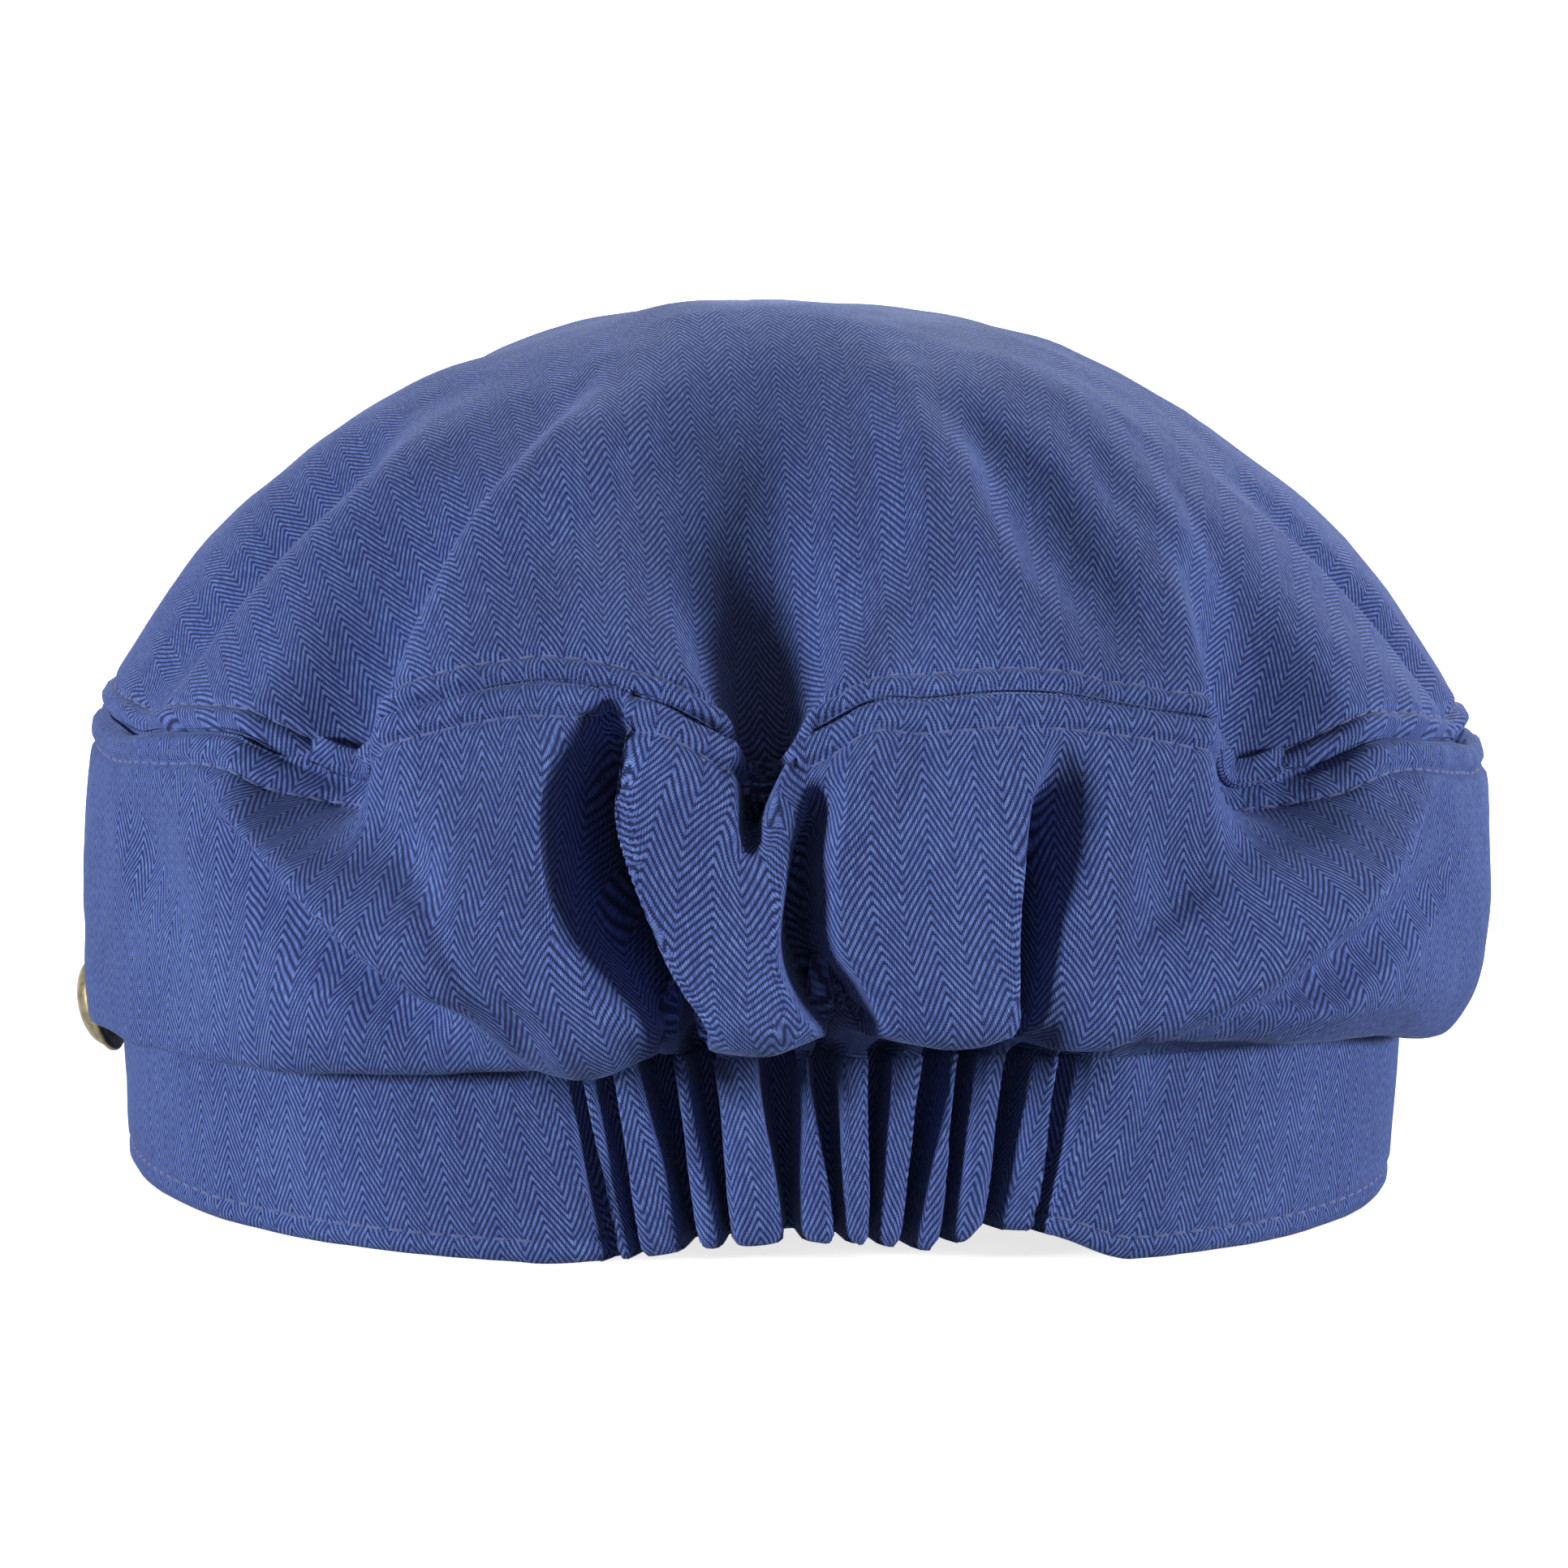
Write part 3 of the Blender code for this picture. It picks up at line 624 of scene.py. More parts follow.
def along_rows(points):
    """Distance along each column from its first row."""
    steps = np.linalg.norm(np.diff(points, axis=0), axis=-1)
    return np.concatenate((np.zeros((1, points.shape[1])), np.cumsum(steps, axis=0)))


def along_columns(points, angle):
    """Distance along each row, with the rows' differences let out over a short way."""
    steps = np.linalg.norm(np.diff(points, axis=1), axis=-1)
    reach = np.concatenate((np.zeros((len(points), 1)), np.cumsum(steps, axis=1)), axis=1)
    common = reach.mean(axis=0)
    weights = bell(angle[:, None] - angle[None, :], math.radians(16.0)) * np.gradient(angle)[None, :]
    weights = weights / weights.sum(axis=1, keepdims=True)
    extra = reach - common
    return common + extra - extra @ weights.T


def let_lie(points, across, up, firm=None):
    """Let the cloth's flat directions settle until they keep its real lengths.

    Firm is how far each point holds its lengths, from 1 in sight to little in a fold."""
    flat = np.stack((across, up), -1)
    firm = np.ones(across.shape) if firm is None else firm
    links = []
    for down, aside in ((0, 1), (1, 0), (1, 1), (1, -1)):
        rows = (slice(0, len(points) - down), slice(down, None))
        count = points.shape[1]
        from_column = slice(max(0, -aside), count - max(0, aside))
        to_column = slice(max(0, aside), count - max(0, -aside))
        first, last = (rows[0], from_column), (rows[1], to_column)
        hold = 0.5 * np.minimum(firm[first], firm[last])
        links.append((first, last, np.linalg.norm(points[last] - points[first], axis=-1), hold))
    start = flat.copy()
    for _ in range(FLAT_ROUNDS):
        moves = np.zeros_like(flat)
        for first, last, length, hold in links:
            apart = flat[last] - flat[first]
            now = np.maximum(np.linalg.norm(apart, axis=-1), 1e-9)
            pull = apart * ((now - length) / now * hold)[..., None]
            moves[first] += pull
            moves[last] -= pull
        shift = np.pad(flat + moves * FLAT_PULL - start, ((1, 1), (1, 1), (0, 0)), "edge")
        beside = shift[1:-1, :-2] + shift[1:-1, 2:] + shift[:-2, 1:-1] + shift[2:, 1:-1]
        flat = start + (1.0 - 4.0 * FLAT_SMOOTHING) * shift[1:-1, 1:-1] + FLAT_SMOOTHING * beside
    return flat[..., 0], flat[..., 1]


def in_sight(angle, level):
    """1 where the crown's cloth lies open, and near 0 down in its deep folds."""
    turned = crown_drift(angle, level)
    press, _ = folds(np.degrees(turned), level)
    return HIDDEN_HOLD + (1.0 - HIDDEN_HOLD) * (1.0 - smooth((press - SIGHT_DEPTH) / SIGHT_FADE))


def levels_from_seam(angle, way):
    """Levels of the rows beside the top seam, below it (-1) or above it (1)."""
    levels = 1.0 + way * SEAM_SEARCH
    points = crown_outside(*np.meshgrid(angle, levels))
    reach = along_rows(points)
    found = [np.interp(SEAM_ROWS, reach[:, index], levels) for index in range(len(angle))]
    return np.array(found).T


def wander(points, size, stretch, seed):
    """Soft noise from -1 to 1 over points, its features longer up than across."""
    places = points.reshape(-1, 3) * (1.0 / size, 1.0 / size, 1.0 / (size * stretch)) + (seed, 0.0, 0.0)
    return np.array([noise.noise(place) for place in places.tolist()]).reshape(points.shape[:-1])


def creases(points, rows):
    """Creases of several sizes on top of each other."""
    return sum(depth * MM * wander(points, size * MM, stretch, seed) for depth, size, stretch, seed in rows)


def seam_relief(distance, points, off_seam):
    """The rolled edge, puffed seam strip, stitch groove and puckers beside the top seam."""
    ditch = -DITCH_DEPTH * bell(distance, DITCH_WIDTH)
    strip = STRIP_PUFF * smooth(distance / STRIP_STARTS) * smooth((off_seam - distance) / STRIP_ENDS)
    groove = -GROOVE_DEPTH * bell(distance - off_seam, GROOVE_WIDTH)
    fade = np.exp(-distance / PUCKER_REACH) * smooth(distance / PUCKER_STARTS)
    return ditch + strip + groove + creases(points, SEAM_PUCKERS) * fade


def raised(base, level, reach, off_seam):
    """Outer face of a crown panel: its base with the relief on it."""
    calm = smooth(level / CALM_LEVEL)
    relief = seam_relief(reach, base, off_seam) + calm * creases(base, CROWN_CREASES)
    return base + to_pole(grid_normals(base), level) * relief[..., None]


def with_edge(base, outer, normals):
    """Outer and inner face of a panel whose first row is at the seam, its edge turned in."""
    turned = np.stack([outer[0] - normals[0] * depth for depth in SEAM_TURNS])
    away = unit(base[1] - base[0])
    inner = base - normals * CLOTH
    inner[0] += away * EDGE_STAND
    return np.concatenate((turned, outer)), np.concatenate((turned + away * CLOTH, inner))


def edge_rows(flat):
    """Flat directions of such a panel, carried on into its turned edge."""
    return np.concatenate((np.repeat(flat[:1], len(SEAM_TURNS), axis=0), flat))


def row_at(reach, distance):
    """The row that is nearest to a distance from the seam or the hem."""
    return int(np.argmin(np.abs(reach[:, 0] - distance)))


def side_cloth():
    """Grid of the side wall from the band seam up, with its distances from the top seam."""
    angle = columns(CROWN_COLUMNS)
    near = levels_from_seam(angle, -1.0)[::-1]
    share = np.linspace(0.0, 1.0, SIDE_ROWS + 1)[:-1, None]
    crowded = (1.0 - SIDE_CROWDING) * share + SIDE_CROWDING * share ** 2
    level = np.concatenate((near[0] * crowded, near))
    angle = np.broadcast_to(angle, level.shape)
    base = crown_outside(angle, level)
    reach = along_rows(base[::-1])[::-1] + SEAM_ROWS[0]
    return angle, level, base, reach, raised(base, level, reach, STITCH_OFF_SIDE)


def top_cloth():
    """Grid of the top panel from the seam to its middle, with its distances from the seam."""
    angle = columns(CROWN_COLUMNS)
    near = levels_from_seam(angle, 1.0)
    share = np.linspace(0.0, 1.0, TOP_ROWS + 1)[1:, None]
    level = np.concatenate((near, near[-1] + (2.0 - near[-1]) * share))
    angle = np.broadcast_to(angle, level.shape)
    base = crown_outside(angle, level)
    reach = along_rows(base) + SEAM_ROWS[0]
    return angle, level, base, reach, raised(base, level, reach, STITCH_OFF_TOP)


def band_cloth():
    """Grid of the headband from its hem to its seam."""
    angle = columns(BAND_COLUMNS)
    hem_rows = HEM_ROWS / BAND_HEIGHT
    height = np.concatenate((hem_rows, np.linspace(hem_rows[-1], 1.0, BAND_ROWS + 1)[1:]))
    level = np.broadcast_to(height[:, None], (len(height), len(angle)))
    base = band_outside(np.broadcast_to(angle, level.shape), level)
    degrees = np.degrees(np.abs(angle))
    stitched = smooth((degrees - HEM_STITCH_ANGLE) / GATHER_EASE)
    ripples = creases(base, BAND_RIPPLES) * np.exp(-np.abs(degrees - RIPPLE_ANGLE) / RIPPLE_SPREAD)
    distance = height[:, None] * BAND_HEIGHT
    groove = -HEM_GROOVE * stitched * bell(distance - STITCH_OFF_HEM, GROOVE_WIDTH)
    edge = -HEM_ROUND * bell(distance, HEM_ROUND)
    relief = ripples + creases(base, BAND_CREASES) + groove + edge
    outer = base + grid_normals(base) * relief[..., None]
    return angle, base, outer


def cloth_piece(name, outer, inner, across, up, material):
    """A closed piece of cloth: a grid on its outer face, extruded to its inner face."""
    rows, count = outer.shape[:2]
    outer_places, inner_places = outer.reshape(-1, 3).tolist(), inner.reshape(-1, 3).tolist()
    threads = np.stack((across, up), -1).reshape(-1, 2).tolist()
    built = bmesh.new()
    bmesh.ops.create_grid(built, x_segments=count - 1, y_segments=rows - 1, size=1.0)
    place = built.verts.layers.int.new("place")
    cloth = built.loops.layers.uv.new("cloth")
    for corner in built.verts:
        column = round((corner.co.x + 1.0) / 2.0 * (count - 1))
        row = round((corner.co.y + 1.0) / 2.0 * (rows - 1))
        corner[place] = row * count + column
    for face in built.faces:
        for loop in face.loops:
            loop[cloth].uv = threads[loop.vert[place]]
    for corner in built.verts:
        corner.co = outer_places[corner[place]]
    bmesh.ops.remove_doubles(built, verts=built.verts[:], dist=1e-6)
    grown = bmesh.ops.extrude_face_region(built, geom=built.faces[:], use_keep_orig=True)
    for item in grown["geom"]:
        if isinstance(item, bmesh.types.BMVert):
            item.co = inner_places[item[place]]
    bmesh.ops.remove_doubles(built, verts=built.verts[:], dist=1e-6)
    bmesh.ops.recalc_face_normals(built, faces=built.faces[:])
    return finish_piece(built, name, material)


def placed(name, data):
    """An object with its mesh, lamp or camera, in the scene."""
    made = bpy.data.objects.new(name, data)
    bpy.context.scene.collection.objects.link(made)
    return made


def smooth_object(built, name, material):
    """Turn a bmesh into a smooth object with a material."""
    mesh = bpy.data.meshes.new(name)
    built.to_mesh(mesh)
    built.free()
    mesh.shade_smooth()
    mesh.materials.append(material)
    return placed(name, mesh)


def finish_piece(built, name, material):
    """Turn a bmesh into a piece that rides on the cap."""
    piece = smooth_object(built, name, material)
    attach(piece, "root")
    return piece


# Stitches

def stitch():
    """One stitch of thread, a spindle one unit long and wide."""
    built = bmesh.new()
    bmesh.ops.create_uvsphere(built, u_segments=6, v_segments=6, radius=0.5)
    mesh = bpy.data.meshes.new("stitch")
    built.to_mesh(mesh)
    built.free()
    return mesh


def sew(built, points, normals, thick=THREAD):
    """Lay stitches end to end along a line on the cloth, half sunk in it."""
    steps = np.linalg.norm(np.diff(points, axis=0), axis=-1)
    reach = np.concatenate(((0.0,), np.cumsum(steps)))
    plain = stitch()

    def at(values, distance):
        return Vector([np.interp(distance, reach, values[:, axis]) for axis in range(3)])

    for number in range(int(reach[-1] / STITCH_PITCH)):
        start = (number + STITCH_GAP) * STITCH_PITCH
        end = (number + 1.0 - STITCH_GAP) * STITCH_PITCH
        first, last = at(points, start), at(points, end)
        out = at(normals, (start + end) / 2).normalized()
        along = (last - first).normalized()
        side = out.cross(along).normalized()
        turn = Matrix((side, out, along)).transposed().to_4x4()
        size = Matrix.Diagonal((thick, thick * STITCH_FLAT, (last - first).length * STITCH_LONG, 1.0))
        middle = at(points, (start + end) / 2) + out * thick * STITCH_RISE
        laid = plain.copy()
        laid.transform(Matrix.Translation(middle) @ turn @ size)
        built.from_mesh(laid)
        bpy.data.meshes.remove(laid)
    bpy.data.meshes.remove(plain)


# Materials

def operator(operation):
    """An operator of Value that adds a Math node."""
    return lambda first, second: first.finish.math(operation, first, second)


class Value:
    """A number that varies over a surface: working with it adds Math nodes."""

    def __init__(self, finish, socket):
        self.finish = finish
        self.socket = socket

    def __rsub__(self, other):
        return self.finish.math("SUBTRACT", other, self)

    __add__ = operator("ADD")
    __sub__ = operator("SUBTRACT")
    __mul__ = operator("MULTIPLY")
    __truediv__ = operator("DIVIDE")
    __pow__ = operator("POWER")


class Finish:
    """A material under construction."""

    def __init__(self, name):
        self.material = bpy.data.materials.new(name)
        self.material.use_nodes = True
        self.tree = self.material.node_tree
        self.tree.nodes.clear()

    def node(self, kind, settings, sockets, output=0):
        """Add a node with its settings and the values or links of its sockets."""
        made = self.tree.nodes.new(kind)
        for key, value in settings.items():
            setattr(made, key, value)
        for key, value in sockets.items():
            if isinstance(value, Value):
                self.tree.links.new(value.socket, made.inputs[key])
            else:
                made.inputs[key].default_value = value
        return Value(self, made.outputs[output])

    def math(self, operation, *values, clamp=False):
        """Add a Math node."""
        settings = {"operation": operation, "use_clamp": clamp}
        return self.node("ShaderNodeMath", settings, dict(enumerate(values)))

    def mix(self, share, first, second):
        """Mix two colours."""
        return self.node("ShaderNodeMix", {"data_type": "RGBA"}, {0: share, 6: first, 7: second}, 2)

    def fuzz(self, where, scale, detail=2.0, roughness=0.5):
        """Noise from 0 to 1 at a scale."""
        sockets = {"Vector": where, "Scale": scale, "Detail": detail, "Roughness": roughness}
        return self.node("ShaderNodeTexNoise", {}, sockets)

    def bump(self, strength, distance, height):
        """Bump from a height from 0 to 1."""
        return self.node("ShaderNodeBump", {}, {"Strength": strength, "Distance": distance, "Height": height})

    def done(self, constants, varying):
        """Close the material with its Principled shader and output."""
        shader = self.node("ShaderNodeBsdfPrincipled", {}, {**constants, **varying})
        output = self.tree.nodes.new("ShaderNodeOutputMaterial")
        self.tree.links.new(shader.socket, output.inputs["Surface"])
        return self.material


def srgb(red, green, blue):
    """A colour as seen on screen, from 0 to 255, as the linear colour that a shader takes."""
    shares = [value / 255.0 for value in (red, green, blue)]
    return (*(s / 12.92 if s <= 0.04045 else ((s + 0.055) / 1.055) ** 2.4 for s in shares), 1.0)


def herringbone():
    """Blue herringbone cotton: pointed stripes of stepped floats, in each piece's own UV metres."""
    stripe, yarn, repeat, over = 3.1, 0.18, 1.32, 0.66
    weave = Finish("herringbone_cotton")
    uv = weave.node("ShaderNodeUVMap", {"uv_map": "cloth"}, {})
    slack = weave.fuzz(uv, 70.0)
    across = weave.node("ShaderNodeSeparateXYZ", {}, {0: uv}, 0) * 1000.0 + (slack - 0.5) * 1.1
    up = weave.node("ShaderNodeSeparateXYZ", {}, {0: uv}, 1) * 1000.0 + (weave.fuzz(uv, 45.0) - 0.5) * 1.6
    way = weave.math("PINGPONG", across, stripe) / yarn
    end = weave.math("FLOOR", way)
    inside = way - end
    lift = up / repeat + end * 0.25
    pick = weave.math("FLOOR", lift)
    rise = lift - pick
    along = weave.math("SUBTRACT", 1.0, weave.math("ABSOLUTE", rise - over / 2) / (over / 2), clamp=True)
    bulge = 1.0 - weave.math("ABSOLUTE", inside * 2.0 - 1.0) ** 2.0
    thread = along ** 0.45 * (bulge * 0.6 + 0.4)
    strand = weave.math("FLOOR", across / yarn)
    name = weave.node("ShaderNodeCombineXYZ", {}, {0: strand, 1: pick})
    chance = weave.node("ShaderNodeTexWhiteNoise", {"noise_dimensions": "2D"}, {"Vector": name})
    hue = weave.node(
        "ShaderNodeTexWhiteNoise", {"noise_dimensions": "1D"}, {"W": strand * 0.37 + pick * 0.61})
    fading = weave.fuzz(uv, 38.0, 3.0)
    light = weave.mix(chance, srgb(69, 97, 168), srgb(116, 148, 217))
    light = weave.mix(hue * 0.4, light, srgb(86, 91, 168))
    tone = weave.math("ADD", thread * 1.05, (fading - 0.5) * 0.35, clamp=True)
    colour = weave.mix(tone, srgb(27, 36, 80), light)
    bump = weave.bump(0.7, 0.18 * MM, thread)
    constants = {
        "Specular IOR Level": 0.22,
        "Sheen Weight": 0.3,
        "Sheen Roughness": 0.3,
        "Sheen Tint": srgb(150, 170, 225),
    }
    return weave.done(constants, {"Base Color": colour, "Normal": bump, "Roughness": 0.95 - thread * 0.15})


def sewing_thread():
    """Blue sewing thread, with the tone of its twist changing along it."""
    thread = Finish("stitch_thread")
    where = thread.node("ShaderNodeTexCoord", {}, {}, 3)
    tone = thread.fuzz(where, 900.0)
    colour = thread.mix(tone, srgb(40, 50, 96), srgb(86, 100, 150))
    bump = thread.bump(0.5, 0.1 * MM, tone)
    varying = {"Base Color": colour, "Roughness": 0.9 - tone * 0.2, "Normal": bump}
    return thread.done({"Sheen Weight": 0.2}, varying)


def old_brass():
    """Antique brass: khaki metal, darker where the hands don't rub it."""
    brass = Finish("antique_brass")
    where = brass.node("ShaderNodeTexCoord", {}, {}, 3)
    patina = brass.fuzz(where, 420.0, 4.0, 0.6)
    cloud = brass.fuzz(where, 120.0, 2.0)
    rubbed = brass.math("MULTIPLY_ADD", patina, 1.8, -0.5, clamp=True)
    colour = brass.mix(rubbed, srgb(66, 60, 44), srgb(160, 148, 114))
    colour = brass.mix(cloud * 0.4, colour, srgb(104, 94, 68))
    bump = brass.bump(0.25, 0.05 * MM, patina)
    varying = {"Base Color": colour, "Roughness": 0.5 - rubbed * 0.18, "Normal": bump}
    return brass.done({"Metallic": 1.0}, varying)


def studio_white():
    """Pale studio paper."""
    paper = Finish("studio_paper")
    white = (0.9, 0.9, 0.9, 1.0)
    glow = {"Emission Color": white, "Emission Strength": 0.85}
    return paper.done({"Base Color": white, "Roughness": 1.0, "Specular IOR Level": 0.0, **glow}, {})


# Pieces

def crown_pieces(cotton, thread):
    """The side wall and the top panel with the stitching along their seam."""
    angle, level, base, reach, outer = side_cloth()
    line = row_at(reach, STITCH_OFF_SIDE)
    lines = [(outer[line], grid_normals(outer)[line])]
    shallow = crown_outside(angle, level, ())
    drop = along_rows(shallow[::-1])[::-1]
    across, up = let_lie(base, along_columns(shallow, angle[0]), -drop, in_sight(angle, level))
    faces = with_edge(base[::-1], outer[::-1], grid_normals(base)[::-1])
    rise = edge_rows(up[::-1])
    rise[:len(SEAM_TURNS)] += np.array(SEAM_TURNS)[:, None]
    flat = (edge_rows(across[::-1]), rise)
    side = cloth_piece("side_wall_cloth", *(rows[::-1] for rows in (*faces, *flat)), cotton)
    angle, level, base, reach, outer = top_cloth()
    line = row_at(reach, STITCH_OFF_TOP)
    lines.append((outer[line], to_pole(grid_normals(outer), level)[line]))
    out = along_rows(crown_outside(angle, level, ()))
    from_middle = out[-1] - out
    turned = crown_drift(angle, level)
    across, up = from_middle * np.sin(turned), -from_middle * np.cos(turned)
    across, up = let_lie(base, across, up, in_sight(angle, level))
    faces = with_edge(base, outer, to_pole(grid_normals(base), level))
    top = cloth_piece("top_panel_cloth", *faces, edge_rows(across), edge_rows(up), cotton)
    built = bmesh.new()
    for points, out in lines:
        sew(built, points, out)
    stitching = finish_piece(built, "seam_stitching", thread)
    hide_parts("crown_side")
    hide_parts("crown_top")
    return side, top, stitching


def headband_pieces(cotton, thread):
    """The band with its pleats, and the stitching of its hem."""
    angle, base, outer = band_cloth()
    normals = grid_normals(outer)
    inner = base.copy()
    inner[..., :2] += unit(np.array((HEAD_X, HEAD_Y)) - base[..., :2]) * BAND_WALL
    across, up = let_lie(base, along_columns(base, angle), along_rows(base))
    band = cloth_piece("headband_cloth", outer, inner, across, up, cotton)
    line = row_at(along_rows(base), STITCH_OFF_HEM)
    degrees = np.degrees(band_drift(angle, STITCH_OFF_HEM / BAND_HEIGHT))
    built = bmesh.new()
    for keep in (degrees < -HEM_STITCH_ANGLE, degrees > HEM_STITCH_ANGLE):
        sew(built, outer[line][keep], normals[line][keep])
    stitching = finish_piece(built, "hem_stitching", thread)
    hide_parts("headband")
    return band, stitching


def peak_pieces(cotton, thread):
    """The stiff peak, covered in cloth and stitched along its edge."""
    degrees = np.linspace(180.0 - PEAK_ANGLE, 180.0 + PEAK_ANGLE, PEAK_COLUMNS)
    angle = np.radians(degrees)[None, :]
    edge = PEAK_ROOT + (PEAK_DEPTH - PEAK_ROOT) * (1.0 - ((180.0 - degrees) / PEAK_ANGLE) ** 2)[None, :]
    share = 1.0 - (1.0 - np.linspace(0.0, 1.0, PEAK_ROWS)[:, None]) ** PEAK_CROWDING
    start = band_radius(angle, 0.0) - BAND_WALL
    reach = start + BAND_WALL * smooth(share / PEAK_TUCK) + edge * share
    fall = (SIDE_LIFT + FRONT_LIFT - GAP - PEAK_THICK) / PEAK_DEPTH
    middle = rim_height(angle) - GAP - fall * edge * share - PEAK_THICK / 2
    from_edge = edge * (1.0 - share)
    thick = round_off(from_edge, PEAK_THICK / 2)
    groove = PEAK_GROOVE * sum(bell(from_edge - distance, PEAK_GROOVE_WIDTH) for distance in PEAK_STITCHES)
    spread = np.broadcast_to(angle, reach.shape)
    upper = from_round(spread, reach, middle + thick - groove)
    under = from_round(spread, reach, middle - thick)
    cover = cloth_piece("peak_cover", upper, under, upper[..., 0], upper[..., 1], cotton)
    built = bmesh.new()
    for distance in PEAK_STITCHES:
        keep = edge[0] > distance + PEAK_STITCH_ENDS
        line = np.array([
            [np.interp(-distance, -from_edge[:, index], upper[:, index, axis]) for axis in range(3)]
            for index in np.flatnonzero(keep)
        ])
        sew(built, line, np.tile(PEAK_UP, (len(line), 1)))
    stitching = finish_piece(built, "peak_stitching", thread)
    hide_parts("peak")


def strap_pieces(cotton, thread):
    """The strap across the front, round at its ends and stitched along both edges."""
    degrees = np.linspace(STRAP_ANGLE - STRAP_TAIL, 360.0 - STRAP_ANGLE + STRAP_TAIL, STRAP_COLUMNS)
    angle = np.radians(degrees)
    share = np.sin(np.linspace(-math.pi / 2, math.pi / 2, STRAP_ROWS))[:, None]
    middle = from_round(angle, band_radius(angle, STRAP_RISE / BAND_HEIGHT), rim_height(angle) + STRAP_RISE)
    length = along_rows(middle[:, None, :])[:, 0]
    from_end = np.minimum(length, length[-1] - length)
    half = STRAP_WIDTH / 2
    width = round_off(from_end, half)
    rise = STRAP_RISE + share * width
    spread = np.broadcast_to(angle, rise.shape)
    round_edge = np.sqrt(np.maximum(1.0 - np.abs(share) ** STRAP_SQUARE, 0.0))
    groove = STRAP_GROOVE * bell(np.abs(share) * width - half + STRAP_STITCH_IN, STRAP_THREAD)
    stand = band_radius(spread, rise / BAND_HEIGHT) + GAP + STRAP_THICK / 2
    thick = STRAP_THICK / 2 * round_edge * (width > 0.0)
    height = rim_height(spread) + rise
    front = from_round(spread, stand + thick - groove * (thick > 0.0), height)
    back = from_round(spread, stand - thick, height)
    up = np.broadcast_to(length, rise.shape)
    strap = cloth_piece("strap_cloth", front, back, share * width, up, cotton)
    built = bmesh.new()
    inside = from_end > STRAP_STITCH_ENDS
    for side in (-1.0, 1.0):
        rise = STRAP_RISE + side * (half - STRAP_STITCH_IN)
        radius = band_radius(angle, rise / BAND_HEIGHT) + GAP + STRAP_THICK - STRAP_GROOVE
        line = from_round(angle, radius, rim_height(angle) + rise)
        out = from_round(angle, 1.0, 0.0 * angle) - np.array((HEAD_X, HEAD_Y, 0.0))
        sew(built, line[inside], out[inside], STRAP_THREAD)
    stitching = finish_piece(built, "strap_stitching", thread)
    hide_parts("strap")
    return strap, stitching


def spin(built, profile, steps):
    """Turn a profile of radius and height round the Z axis, closed at the poles."""
    corners = [built.verts.new((out, 0.0, rise)) for out, rise in profile]
    edges = [built.edges.new(pair) for pair in zip(corners, corners[1:])]
    turn = {"cent": (0, 0, 0), "axis": (0, 0, 1), "angle": math.tau, "steps": steps, "use_merge": True}
    bmesh.ops.spin(built, geom=corners + edges, **turn)
    bmesh.ops.remove_doubles(built, verts=built.verts[:], dist=1e-6)


def button(name, node, side, brass):
    """A domed button with a beaded rim on its shank, at the left (-1) or right (1)."""
    built = bmesh.new()
    waist = SHANK_RADIUS * SHANK_WAIST
    profile = [(0.0, -SHANK_LENGTH), (SHANK_RADIUS, -SHANK_LENGTH), (waist, -SHANK_LENGTH / 2)]
    profile += [(SHANK_RADIUS, -BUTTON_BACK), (BUTTON_RADIUS - BUTTON_LIP, 0.0)]
    for turn in np.radians(np.linspace(-90.0, 120.0, 9)):
        out = BUTTON_RADIUS - BEAD_RADIUS + BEAD_RADIUS * math.cos(turn)
        profile.append((out, BEAD_RADIUS + BEAD_RADIUS * math.sin(turn)))
    dome = BUTTON_RADIUS - 1.5 * BEAD_RADIUS
    for turn in np.radians(np.linspace(8.0, 90.0, 12)):
        profile.append((dome * math.cos(turn), BUTTON_RIM + BUTTON_DOME * math.sin(turn)))
    spin(built, reversed(profile), 64)
    angle = np.array(math.radians(side * STRAP_ANGLE))
    stand = GAP + STRAP_THICK + GAP + SHANK_LENGTH
    seat = from_round(
        angle, band_radius(angle, STRAP_RISE / BAND_HEIGHT) + stand, rim_height(angle) + STRAP_RISE)
    lean = SHANK_RADIUS * math.sin(math.radians(BUTTON_TILT))
    outward = Vector((math.sin(angle), -math.cos(angle), 0.0))
    turn = Matrix.Rotation(angle, 4, "Z") @ Matrix.Rotation(math.radians(90.0 + BUTTON_TILT), 4, "X")
    built.transform(Matrix.Translation(Vector(seat) + outward * lean) @ turn)
    piece = finish_piece(built, name, brass)
    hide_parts(node)


# Studio

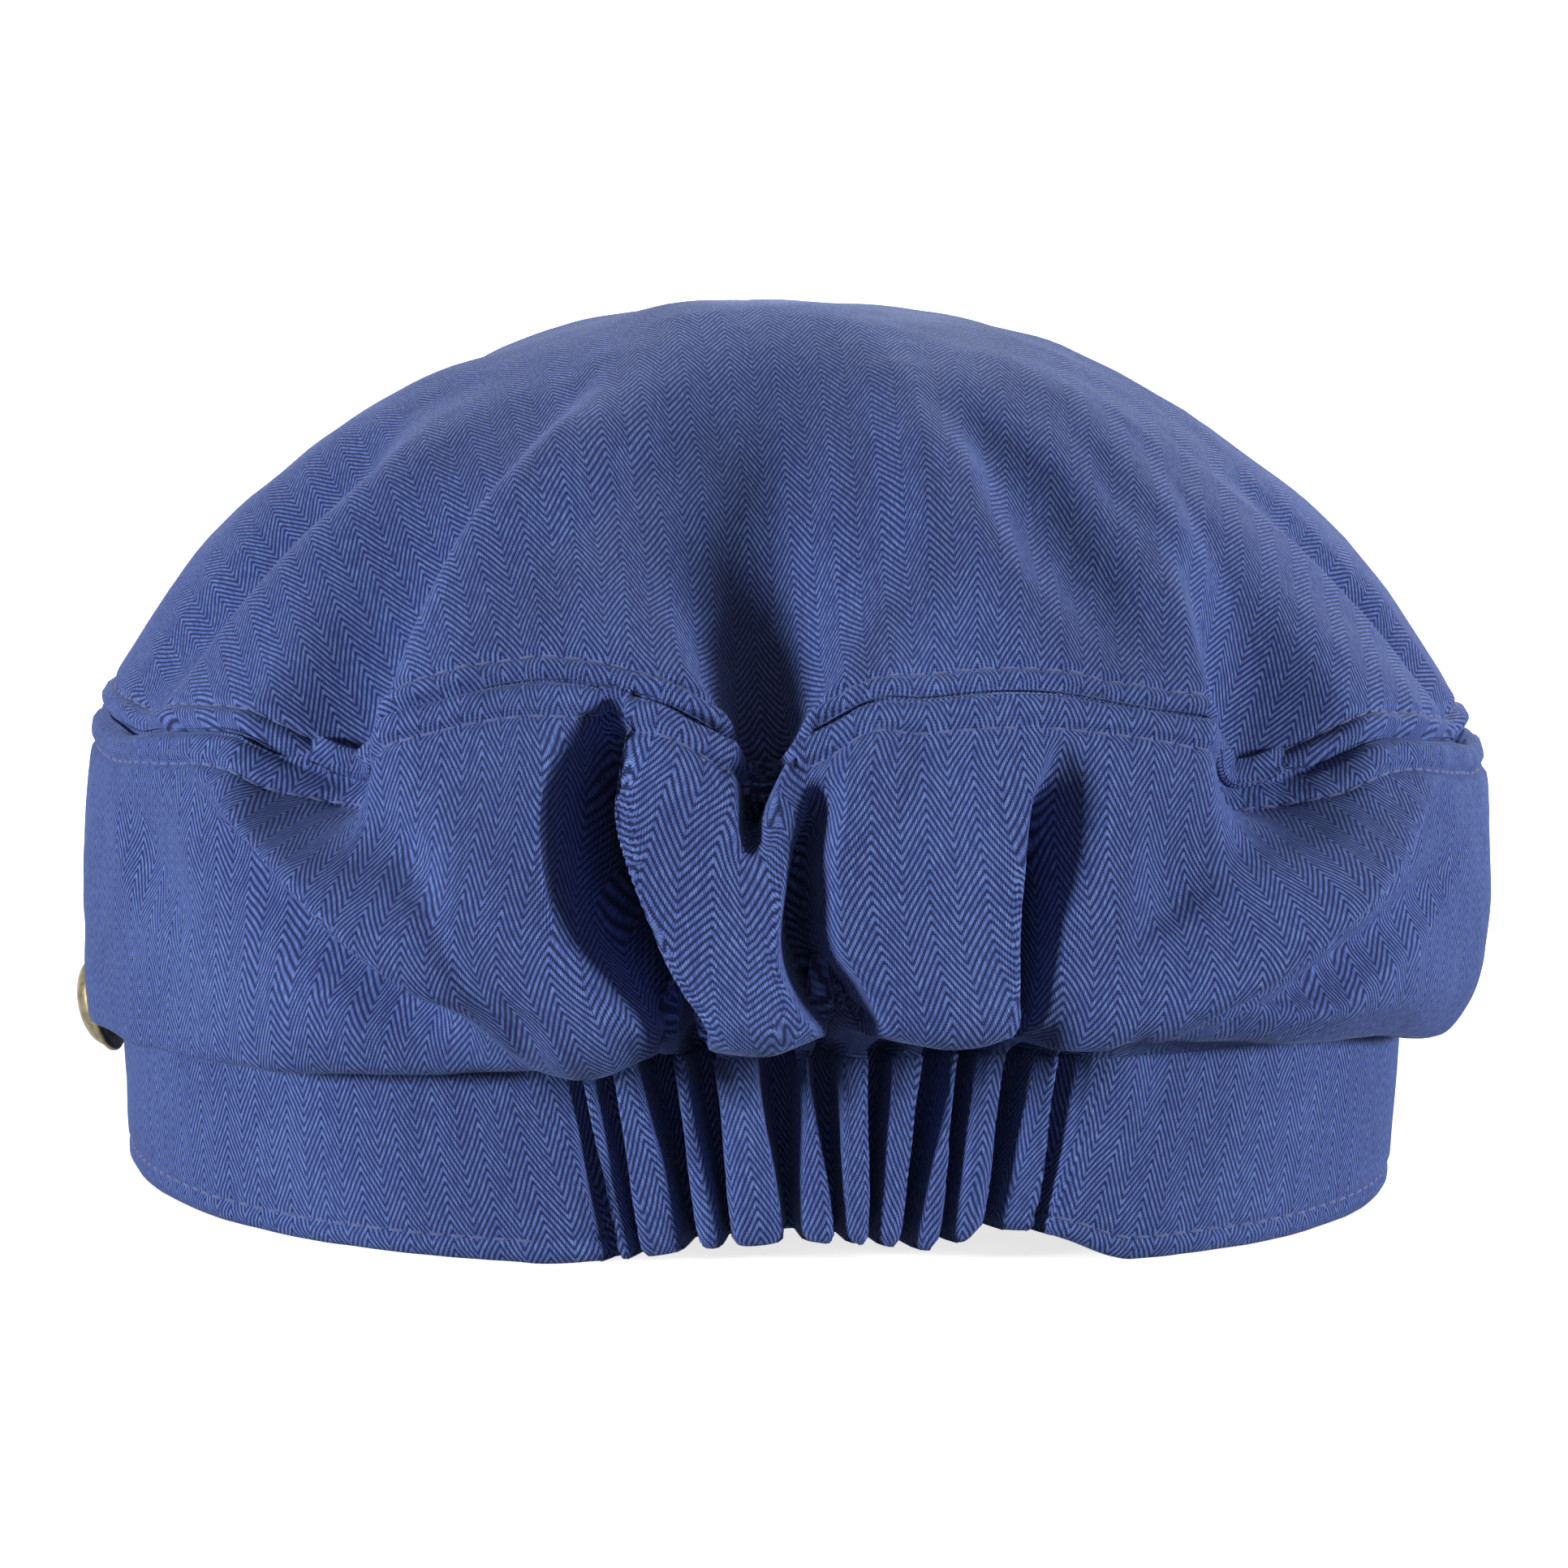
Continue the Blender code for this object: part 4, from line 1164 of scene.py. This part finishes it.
def place_camera():
    """The photograph's view: from behind, a little to the left and above, slightly tilted."""
    azimuth, elevation = math.radians(CAMERA_AZIMUTH), math.radians(CAMERA_ELEVATION)
    level = math.cos(elevation)
    back = Vector((math.sin(azimuth) * level, -math.cos(azimuth) * level, math.sin(elevation)))
    camera = bpy.data.cameras.new("camera")
    camera.lens = CAMERA_LENS
    camera.sensor_width = CAMERA_SENSOR
    holder = placed("camera", camera)
    holder.location = Vector(CAMERA_TARGET) + back * CAMERA_DISTANCE
    tilt = Quaternion((0.0, 0.0, 1.0), math.radians(CAMERA_ROLL))
    holder.rotation_mode = "QUATERNION"
    holder.rotation_quaternion = back.to_track_quat("Z", "Y") @ tilt
    bpy.context.scene.camera = holder


def lamp(name, place, size, power):
    """A soft square lamp turned to the cap, out of the camera's sight."""
    light = bpy.data.lights.new(name, "AREA")
    light.size = size
    light.energy = power
    holder = placed(name, light)
    holder.location = place
    holder.rotation_euler = (Vector(place) - Vector(LAMP_TARGET)).to_track_quat("Z", "Y").to_euler()
    holder.visible_camera = False


def studio():
    """A round white sweep, open above, with soft lamps."""
    built = bmesh.new()
    wall = FLOOR_RADIUS + SWEEP_RADIUS
    profile = [(0.0, 0.0), (FLOOR_RADIUS / 2, 0.0), (FLOOR_RADIUS, 0.0)]
    for turn in np.radians(np.arange(10, 91, 10)):
        out = FLOOR_RADIUS + SWEEP_RADIUS * math.sin(turn)
        profile.append((out, SWEEP_RADIUS * (1.0 - math.cos(turn))))
    profile += [(wall, 2.0 * SWEEP_RADIUS), (wall, SWEEP_TOP)]
    spin(built, profile, 72)
    sweep = smooth_object(built, "studio_sweep", studio_white())
    sweep.visible_diffuse = False
    world = bpy.data.worlds.new("studio_sky")
    world.use_nodes = True
    sky = world.node_tree.nodes["Background"].inputs
    sky["Color"].default_value = (1.0, 1.0, 1.0, 1.0)
    sky["Strength"].default_value = SKY
    bpy.context.scene.world = world
    bpy.context.scene.view_settings.view_transform = "Standard"
    for row in LAMPS:
        lamp(*row)


def main():
    """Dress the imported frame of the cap."""
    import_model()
    place_camera()
    studio()
    cotton, thread, brass = herringbone(), sewing_thread(), old_brass()
    side, top, seam_stitching = crown_pieces(cotton, thread)
    band, hem_stitching = headband_pieces(cotton, thread)
    peak_pieces(cotton, thread)
    strap, strap_stitching = strap_pieces(cotton, thread)
    button("left_button", "side_button_left", -1, brass)
    button("right_button", "side_button_right", 1, brass)


main()
